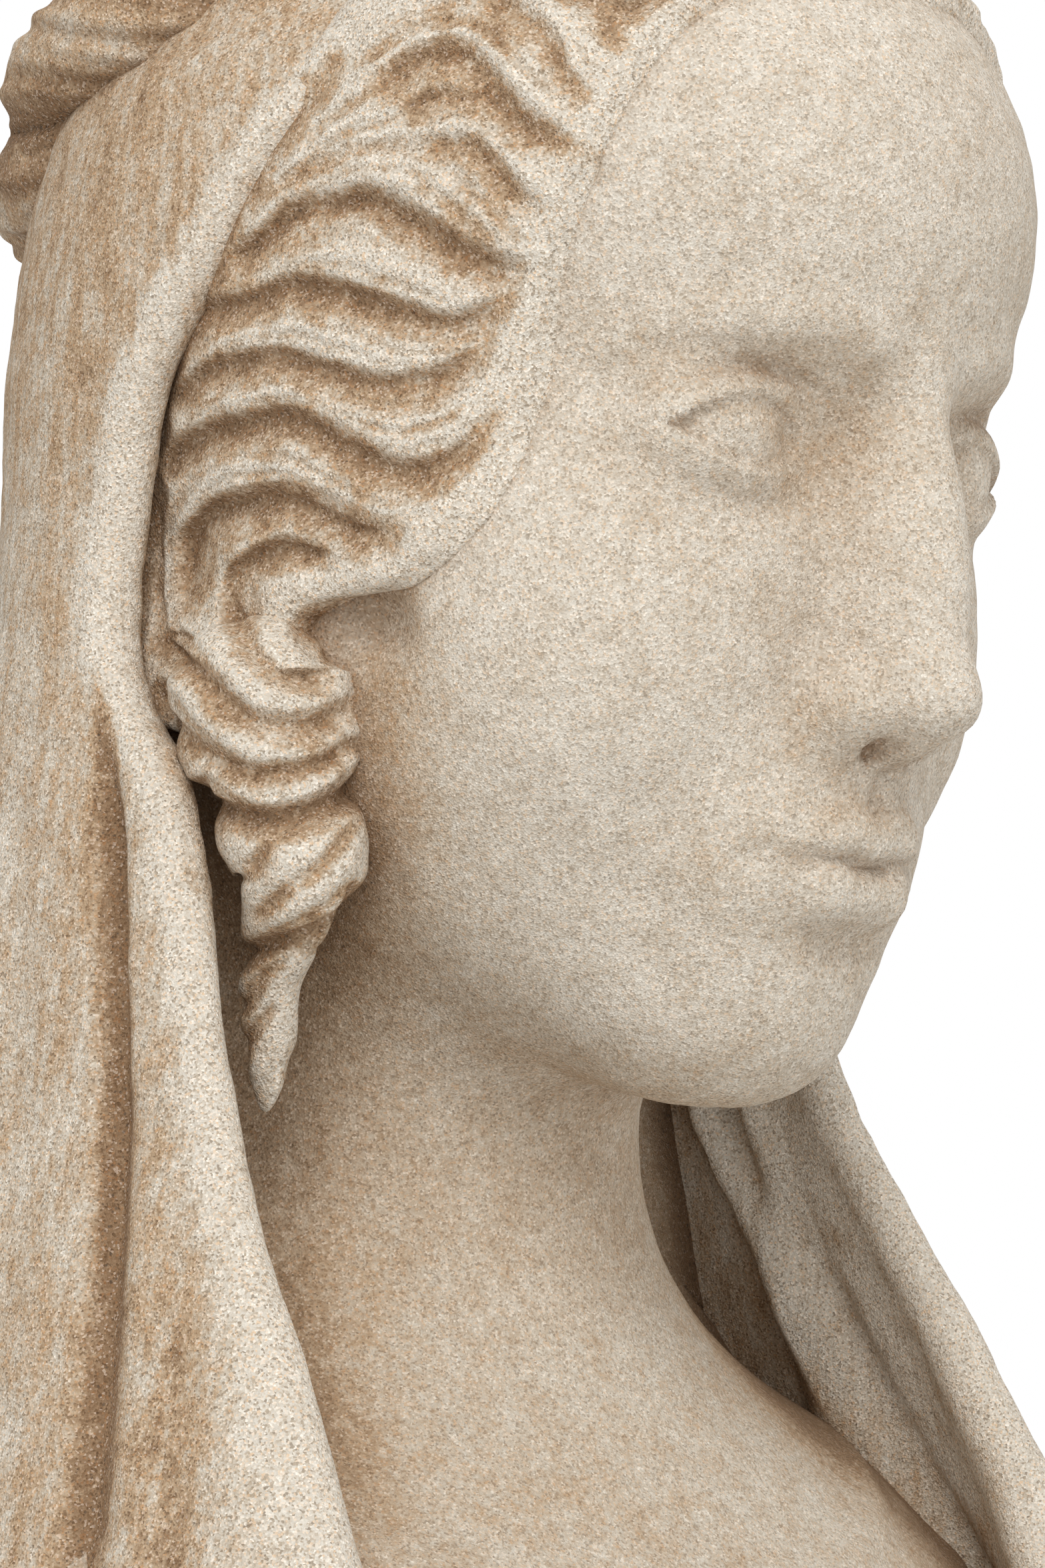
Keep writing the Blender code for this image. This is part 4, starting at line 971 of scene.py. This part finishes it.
@dataclass
class Flesh:
    """The face, neck and chest."""

    form: FleshForm
    columns_in_front: int = 230
    columns_behind: int = 46
    rows: int = 340
    stages: tuple = ((0.0, 0.0, 0.0, 90.0), (0.02, 0.0, 0.0, 62.0), (0.47, 0.0, 0.0, -28.0),
                     (0.60, -100.0, 30.0, -6.0), (0.70, -100.0, 30.0, -34.0), (0.86, -190.0, 50.0, 0.0),
                     (1.0, BASE, 50.0, 0.0))
    # Browner from the throat down: painted shade under the chin, with some dirt.
    throat: float = 0.17
    # Marks of painted shade: the pocket by the ear under the hair and down beside the jaw, the veil's shadow
    # beside the neck, the inner eye corners and under the brows, beside the nose wings, under the lower lip and
    # at the mouth corners.
    shade_marks: tuple = (
        ShadeMark((70, -28, -46), (64, -27, -96), 9.0, 0.90, bowed=False),
        ShadeMark((58, -4, -98), (68, -9, -190), 17.0, 0.70, bowed=False),
        ShadeMark((13, -86, 4), (17, -82, -6), 7.0, 0.16),
        ShadeMark((24, -82, 10), (42, -72, 9), 6.0, 0.10),
        ShadeMark((15, -88, -42), (15, -84, -48), 5.0, 0.35),
        ShadeMark((0, -88, -80), (14, -86, -78), 5.0, 0.25),
        ShadeMark((22, -83, -66), (27, -80, -68), 4.0, 0.30),
    )

    def rays(self) -> tuple:
        """Starts and directions of the rays, close together over the face.

        Each stage gives a share of the rows, then the height and depth of the start there and the
        rays' rise in degrees.

        Returns:
            Start points and directions, by column round the head and row from the crown down.
        """
        front = np.linspace(-82.0, 82.0, self.columns_in_front)
        behind = np.linspace(82.0, 278.0, self.columns_behind + 2)[1:-1]
        turn = np.radians(np.concatenate([front, behind, front[:1] + 360.0]))
        share, height, depth, rise = np.array(self.stages).T
        v = np.linspace(0.0, 1.0, self.rows)[None, :] + 0.0 * turn[:, None]
        start = np.stack([0.0 * v, np.interp(v, share, depth), np.interp(v, share, height)], axis=-1)
        tilt = np.radians(np.interp(v, share, rise))
        turn = turn[:, None] + 0.0 * v
        way = np.stack([np.sin(turn) * np.cos(tilt), -np.cos(turn) * np.cos(tilt), np.sin(tilt)], axis=-1)
        return start, way

    def build(self, block: Block, stone: bpy.types.Material) -> None:
        """Casts the rays on the flesh and closes the piece below."""
        start, way = self.rays()
        points = self.covered(start, way, cast(start, way, self.form.distance, 240.0))
        points = points + way * worn(points)[..., None] * 0.8
        points = np.concatenate([points, start[:, -1:]], axis=1)
        # The hollow attribute here is painted shade in creases and under the veil and hair, with a little dirt
        # from the throat down.
        block.add("face_neck_and_chest", points, {"hollow": self.painted_shade_and_dirt(points)}, stone)

    def covered(self, start: np.ndarray, way: np.ndarray, points: np.ndarray) -> np.ndarray:
        """Draws the points behind the neck back until they lie half a cloth under the veil's folds."""
        veil = self.form.veil
        over = cast(start, way, veil.distance, 240.0)
        free = np.linalg.norm(over - points, axis=-1) * np.sign(((over - points) * way).sum(axis=-1))
        free = free + veil.folds(over)[0] - 0.5 * veil.cloth
        behind = smooth_step(points[..., 1], 24.0, 48.0)
        return points + way * (behind * np.minimum(free, 0.0))[..., None]

    def painted_shade_and_dirt(self, points: np.ndarray) -> np.ndarray:
        """How brown the skin is painted: the sum of its marks of painted shade, and a little more from the
        throat down, which is painted shade under the chin with some dirt.
        """
        brown = self.throat * smooth_step(-points[..., 2], 96.0, 140.0)
        head = bowed(points)
        for shade_mark in self.shade_marks:
            p = head if shade_mark.bowed else points
            m = np.stack([np.abs(p[..., 0]), p[..., 1], p[..., 2]], axis=-1)
            away = np.clip(limb(m, shade_mark.start, shade_mark.end, 0.0, 0.0), 0.0, None)
            brown = brown + shade_mark.depth * bell(away, 0.0, shade_mark.reach)
        return brown


@dataclass
class Veil:
    """The hood of cloth, with a rounded border, its folds and its lining."""

    form: VeilForm
    columns: int = 401
    rows: int = 176
    rim_rows: int = 7
    lining_rows: int = 64
    # Painted light: the lining's hollow value is lowered to paint it paler, standing in for light inside the
    # veil.
    lining_painted_light: float = 0.44

    def build(self, block: Block, stone: bpy.types.Material) -> None:
        """Casts the outside, turns it over the border and lines it."""
        form = self.form
        e = np.linspace(0.0, 1.0, self.columns)
        half = 1.0 - np.abs(2.0 * e - 1.0)
        side = np.where(e < 0.5, 1.0, -1.0)
        border = spline(form.border, half)
        border[:, 2] = np.maximum(border[:, 2], BASE)
        height = np.clip(border[:, 2], BASE, 0.0)
        start = np.stack([0 * e, np.interp(height, (-190.0, 0.0), (40.0, 0.0)), height], axis=-1)
        rise = smooth_step(half, 0.45, 1.0)[:, None]
        back = np.stack([0 * e, 120.0 + 0 * e, height], axis=-1) * (1 - rise) + np.array(form.apex) * rise
        ahead, behind = unit(border - start), unit(back - start)
        t = np.linspace(0.0, 1.0, self.rows)[None, :, None]
        way = slerp(ahead[:, None], behind[:, None], t)
        start = np.repeat(start[:, None], self.rows, axis=1)
        mirror = side[:, None]
        outside = cast(start, way, form.distance, 300.0)
        shown = outside.copy()
        shown[..., 0] *= mirror
        rise_of, hollow = form.folds(shown)
        outside = outside + way * (rise_of + worn(shown))[..., None]
        low = smooth_step(-outside[..., 2], 100.0, -BASE)
        thick = form.cloth * (1.0 + form.low_swell * low)
        pick = np.unique(np.round((np.linspace(0, 1, self.lining_rows) ** 1.9) * (self.rows - 1)).astype(int))
        run = np.cumsum(np.linalg.norm(np.diff(outside, axis=1, prepend=outside[:, :1]), axis=-1), axis=1)
        hem = smooth_step(-outside[..., 2], 78.0, 100.0)
        thick = thick + (4.6 * bell(run, 31.0, 3.4) - 3.0 * bell(run, 22.0, 5.0)) * hem
        lining = (outside - way * thick[..., None])[:, pick]
        forward = unit(outside[:, 0] - outside[:, 2])
        turn = np.linspace(0.0, math.pi, self.rim_rows + 2)[1:-1][None, :, None]
        middle = 0.5 * (outside[:, :1] + lining[:, :1])
        radius = 0.5 * thick[:, :1, None]
        rim = middle + radius * (np.cos(turn) * way[:, :1] + np.sin(turn) * forward[:, None])
        loop = np.concatenate([outside[:, ::-1], rim, lining], axis=1)
        loop[..., 0] *= mirror
        inner = np.zeros(lining.shape[:2])
        edge = np.zeros(rim.shape[:2])
        # Paler just outside the border and on the rim itself: wear with painted highlight. The folds' hollow is
        # painted shade, and the lining's is painted light.
        rubbed_and_highlit = bell(t[..., ::-1, 0], 0.0, 1.0 / 60.0) + 0.0 * hollow
        fields = {"hollow": np.concatenate([hollow[:, ::-1], edge, inner - self.lining_painted_light], axis=1),
                  "crest": np.concatenate([rubbed_and_highlit, edge + 1.0, inner], axis=1)}
        block.add("veil", loop, fields, stone)


@dataclass
class Hair:
    """The waved hair beside the face, on one side."""

    form: HairForm
    flesh: FleshForm
    columns: int = 135
    rows: int = 430

    def build(self, block: Block, side: Side, stone: bpy.types.Material) -> None:
        """Raises the locks over the skin and closes the piece beneath it."""
        form = self.form
        across, down = np.linspace(-0.14, 1.05, self.columns), np.linspace(0.0, 1.0, self.rows)
        s, t = np.meshgrid(across, down, indexing="ij")
        front = spline(form.hairline, t)
        turn = np.radians(front[..., 0])
        on_face = np.stack([np.sin(turn) * 64.0, -np.cos(turn) * 86.0, front[..., 1]], axis=-1)
        way = unit(spline(form.back, t) * (1 - s[..., None]) + on_face * s[..., None])
        skin = cast(np.zeros_like(way), way, self.flesh.distance, 180.0, 34)
        edge = np.clip(1.0 - (np.abs(s - 0.5) / 0.55) ** 9, 0.0, 1.0) ** 0.5
        ends = np.clip(1.0 - t ** 40, 0.0, 1.0) ** 0.5
        swell = np.sin(math.pi * np.clip(0.06 + 0.94 * s, 0, 1)) ** 0.6
        parting = 2.6 * bell(skin[..., 0], 0.0, 2.2)
        swell = swell * (0.72 + 0.28 * smooth_step(t, 0.5, 0.9))
        height = form.edge_body + (form.body - form.edge_body) * swell
        depth = np.full(height.shape, 1.5)
        for _ in range(2):
            depth, brown = form.locks.carve(skin + way * (height - depth)[..., None], side)
        inner = 1.0 - smooth_step(s, 0.86, 0.99) * (1.0 - smooth_step(t, 0.74, 0.86))
        depth, brown = soften(0.86 * depth * inner, 1), brown * (0.35 + 0.65 * inner)
        height = (height - depth - parting) * edge * ends - 2.0 * (1 - edge * ends)
        turned = skin * np.array((side.value, 1.0, 1.0))
        outside = skin + way * (height + worn(turned * 1.4))[..., None]
        inside = skin[::-8] - way[::-8] * 14.0
        points = np.concatenate([outside, inside, outside[:1]], axis=0)
        points[..., 0] *= side.value
        under = np.zeros((len(inside) + 1, self.rows))
        # Crests are painted paler, by wear and painted highlight. The back edge of the hair, under the veil's
        # border, is painted brown as shade.
        crest = smooth_step(-depth, -0.9, 0.0) * (1.0 - brown)
        brown = np.maximum(brown, 0.5 * (1.0 - smooth_step(s, 0.04, 0.20)))
        fields = {"hollow": np.concatenate([brown, under]), "crest": np.concatenate([crest, under])}
        block.add("hair_" + side.name.lower(), points, fields, stone, mirrored=side is Side.RIGHT)


def carried(path: Callable, section: Callable, turn: np.ndarray, t: np.ndarray, up: tuple) -> np.ndarray:
    """Carries a section along a path.

    Args:
        path: gives the path's points from places along it.
        section: gives two offsets across the path from place and angle.
        turn: angles round the section, one for each column of the grid.
        t: places along the path from 0 to 1, one for each row.
        up: direction that the section's first axis leans to.

    Returns:
        Grid of path + a times the first axis + b times the second, both square to the path.
    """
    centre = path(t)
    tangent = unit(path(t + 0.002) - path(t - 0.002))
    lean = np.array(up, float)
    first = unit(lean - tangent * (tangent @ lean)[:, None])
    second = np.cross(tangent, first)
    a, b = section(t[None, :], turn[:, None])
    return centre[None] + a[..., None] * first[None] + b[..., None] * second[None]


@dataclass
class Ringlet:
    """The lock that hangs in coils beside the jaw, on one side."""

    locks: Locks
    path: tuple = ((66.0, -6.0, -43.0), (66.5, -5.5, -55.0), (66.5, -8.5, -65.0), (66.5, -11.5, -76.0),
                   (66.5, -14.5, -86.0), (65.5, -9.5, -95.0), (64.5, -6.0, -102.0), (63.5, -4.5, -113.0),
                   (63.0, -3.5, -124.0))
    girth: tuple = (13.6, 17.4, 15.8, 13.2, 11.0, 7.2, 5.6, 4.6, 2.4)
    columns: int = 161
    rows: int = 260

    def section(self, t: np.ndarray, turn: np.ndarray) -> tuple:
        """Round section whose size follows the coils of the lock, with a rounded top and tip."""
        size = np.interp(t, np.linspace(0.0, 1.0, len(self.girth)), self.girth)
        size = size * np.clip(1.0 - np.abs(2 * t - 1) ** 9, 0, 1) ** 0.5
        return 0.94 * size * np.cos(turn), size * np.sin(turn)

    def build(self, block: Block, side: Side, stone: bpy.types.Material) -> None:
        """Carries the section down the path and cuts the coils into it."""
        path = self.path if side is Side.RIGHT else self.path[:-1]  # the left one is a little shorter
        t = np.linspace(0.0, 1.0, self.rows)
        turn = np.linspace(0.0, 2.0 * math.pi, self.columns)
        points = carried(lambda at: spline(path, at), self.section, turn, t, (1.0, 0.15, 0.0))
        middle = spline(path, t)[None]
        out = points - middle
        size = np.linalg.norm(out, axis=-1, keepdims=True)
        depth = np.full(size.shape[:2], 1.0)
        for _ in range(2):
            depth, brown = self.locks.carve(points - unit(out) * depth[..., None], side)
            depth = np.minimum(depth, 0.55 * size[..., 0])
        depth = soften(depth, 3)
        points = points - unit(out) * (depth - worn(points * np.array((side.value, 1, 1)) * 1.4))[..., None]
        points[-1] = points[0]
        points = points * np.array((side.value, 1.0, 1.0))
        # Brown in the coils' grooves is patina with painted shade; the paler crests are wear with painted
        # highlight.
        fields = {"hollow": brown, "crest": smooth_step(-depth, -0.9, 0.0) * (1.0 - brown)}
        block.add("ringlet_" + side.name.lower(), points, fields, stone, mirrored=side is Side.RIGHT)


@dataclass
class Wreath:
    """The thick twisted roll of cloth round the head, tilted back."""

    middle: tuple = (0.0, 26.0, 64.5)
    radii: tuple = (54.0, 58.0)
    tilt: float = math.radians(28.0)
    radius: float = 19.5
    twists: int = 8
    columns: int = 151
    rows: int = 561

    def path(self, t: np.ndarray) -> np.ndarray:
        """Ellipse round the head: a level one turned back about X by the tilt."""
        a = 2.0 * math.pi * t
        y = -self.radii[1] * np.cos(a)
        return np.stack([self.radii[0] * np.sin(a), self.middle[1] + y * math.cos(self.tilt),
                         self.middle[2] - y * math.sin(self.tilt)], axis=-1)

    def lobes(self, t: np.ndarray, turn: np.ndarray) -> np.ndarray:
        """Height of the three strands, which wind round the roll as it goes round the head."""
        return np.abs(np.cos(1.5 * (turn - 2.0 * math.pi * self.twists / 3.0 * t))) ** 0.6

    def section(self, t: np.ndarray, turn: np.ndarray) -> tuple:
        """Section of three lobes that turns along the path."""
        phase = turn - 2.0 * math.pi * self.twists / 3.0 * t
        crease = 0.022 * np.sin(12.0 * phase + 1.2 * np.sin(10.0 * math.pi * t))
        crease = crease + 0.014 * np.sin(21.0 * phase + 2.0 * np.sin(18.0 * math.pi * t) + 0.7)
        size = self.radius * (0.74 + 0.30 * self.lobes(t, turn) + crease + 0.02 * np.sin(22.0 * math.pi * t))
        return size * np.cos(turn), size * np.sin(turn)

    def build(self, block: Block, stone: bpy.types.Material) -> None:
        """Carries the section round the head."""
        t = np.linspace(0.0, 1.0, self.rows)
        turn = np.linspace(0.0, 2.0 * math.pi, self.columns)
        points = carried(self.path, self.section, turn, t, (0.0, 0.0, 1.0))
        lobes = self.lobes(t[None, :], turn[:, None])
        # Brown between the strands is painted shade with patina; the strands' tops are painted paler, by wear
        # and highlight.
        fields = {"hollow": np.clip(1.0 - 1.6 * lobes, 0.0, 1.0), "crest": smooth_step(lobes, 0.85, 1.0)}
        block.add("wreath", points, fields, stone)


@dataclass
class Studio:
    """Pale floor, soft lights and the camera at the corner that the bust is seen from."""

    corner: Corner
    frame_height: float = 275.0
    lit_world: float = 0.64

    def build(self, block: Block) -> None:
        """Sets the floor, the lights, the white backdrop and the camera."""
        scene = bpy.context.scene
        head = Vector(place(np.zeros((1, 3)), block.low, block.high)[0])
        self.floor(block.low[2])
        self.light("key", head + Vector((-1.35, -1.1, 1.35)), head, 32.0, 1.3)
        self.light("fill", head + Vector((1.6, -1.4, 0.5)), head, 6.0, 1.6)
        self.light("low_fill", head + Vector((-0.9, -1.3, -0.35)), head, 3.0, 0.8)
        self.backdrop(scene)
        scene.view_settings.view_transform = "Standard"
        scene.cycles.diffuse_bounces = 2
        camera = bpy.data.cameras.new("camera")
        camera.sensor_width = 36.0
        camera.lens = camera.sensor_width * self.corner.distance / self.frame_height
        camera.clip_start = 0.01
        eye = bpy.data.objects.new("camera", camera)
        scene.collection.objects.link(eye)
        back, _, _ = self.corner.axes()
        at = self.corner.aim() + back * self.corner.distance
        eye.location = place(at[None], block.low, block.high)[0]
        eye.rotation_euler = Vector(back).to_track_quat("Z", "Y").to_euler()
        scene.camera = eye

    def backdrop(self, scene: bpy.types.Scene) -> None:
        """White all round where it is seen, and a softer white where it lights."""
        world = bpy.data.worlds.new("studio")
        scene.world = world
        world.use_nodes = True
        tree = Tree(world.node_tree)
        background = world.node_tree.nodes["Background"]
        background.inputs["Color"].default_value = (1.0, 1.0, 1.0, 1.0)
        seen = tree.node("ShaderNodeLightPath").outputs["Is Camera Ray"]
        strength = tree.math("ADD", tree.math("MULTIPLY", seen, 1.0 - self.lit_world), self.lit_world)
        tree.link(strength, background.inputs["Strength"])

    @staticmethod
    def light(name: str, at: Vector, to: Vector, power: float, size: float) -> None:
        """Hangs a square soft light."""
        lamp = bpy.data.lights.new(name, "AREA")
        lamp.energy = power
        lamp.size = size
        holder = bpy.data.objects.new(name, lamp)
        holder.location = at
        holder.rotation_euler = (at - to).to_track_quat("Z", "Y").to_euler()
        bpy.context.scene.collection.objects.link(holder)

    @staticmethod
    def floor(height: float) -> None:
        """Lays the pale floor under the bust."""
        radius = 0.68
        turn = np.linspace(0.0, 2.0 * math.pi, 97)[:-1]
        rim = np.stack([radius * np.cos(turn), radius * np.sin(turn), height + 0.0 * turn], axis=-1)
        mesh = bpy.data.meshes.new("floor")
        mesh.from_pydata(rim.tolist(), [], [tuple(range(len(rim)))])
        material = bpy.data.materials.new("pale_floor")
        material.use_nodes = True
        shader = material.node_tree.nodes["Principled BSDF"]
        shader.inputs["Base Color"].default_value = (0.80, 0.80, 0.79, 1.0)
        shader.inputs["Roughness"].default_value = 0.9
        mesh.materials.append(material)
        floor = bpy.data.objects.new("floor", mesh)
        bpy.context.scene.collection.objects.link(floor)
        floor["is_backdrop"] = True


def main() -> None:
    """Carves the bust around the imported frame."""
    logging.basicConfig(level=logging.INFO, format="%(message)s")
    block = Block()
    finish = Sandstone()
    face_stone = finish.make("sandstone_face", 0.10, 0.11, 0.85, 0.74, 0.6)
    veil_stone = finish.make("sandstone_veil", 1.15, 0.25, 0.40, 0.95, 0.8)
    hair_stone = finish.make("sandstone_hair", 0.15, 0.09, 0.50, 1.0, 2.0)
    # The wreath's deep tan stands in partly for painted shade where it lies.
    wreath_stone = finish.make("sandstone_wreath", 0.15, 0.86, 0.80, 1.0, 1.3)
    veil = VeilForm()
    flesh = FleshForm(veil)
    corner = Corner()
    locks = Locks(corner)
    Flesh(flesh).build(block, face_stone)
    Veil(veil).build(block, veil_stone)
    for side in Side:
        Hair(HairForm(locks), flesh).build(block, side, hair_stone)
        Ringlet(locks).build(block, side, hair_stone)
    Wreath().build(block, wreath_stone)
    for piece in block.pieces:
        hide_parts(NODE)
    Studio(corner).build(block)


if __name__ == "__main__":
    main()
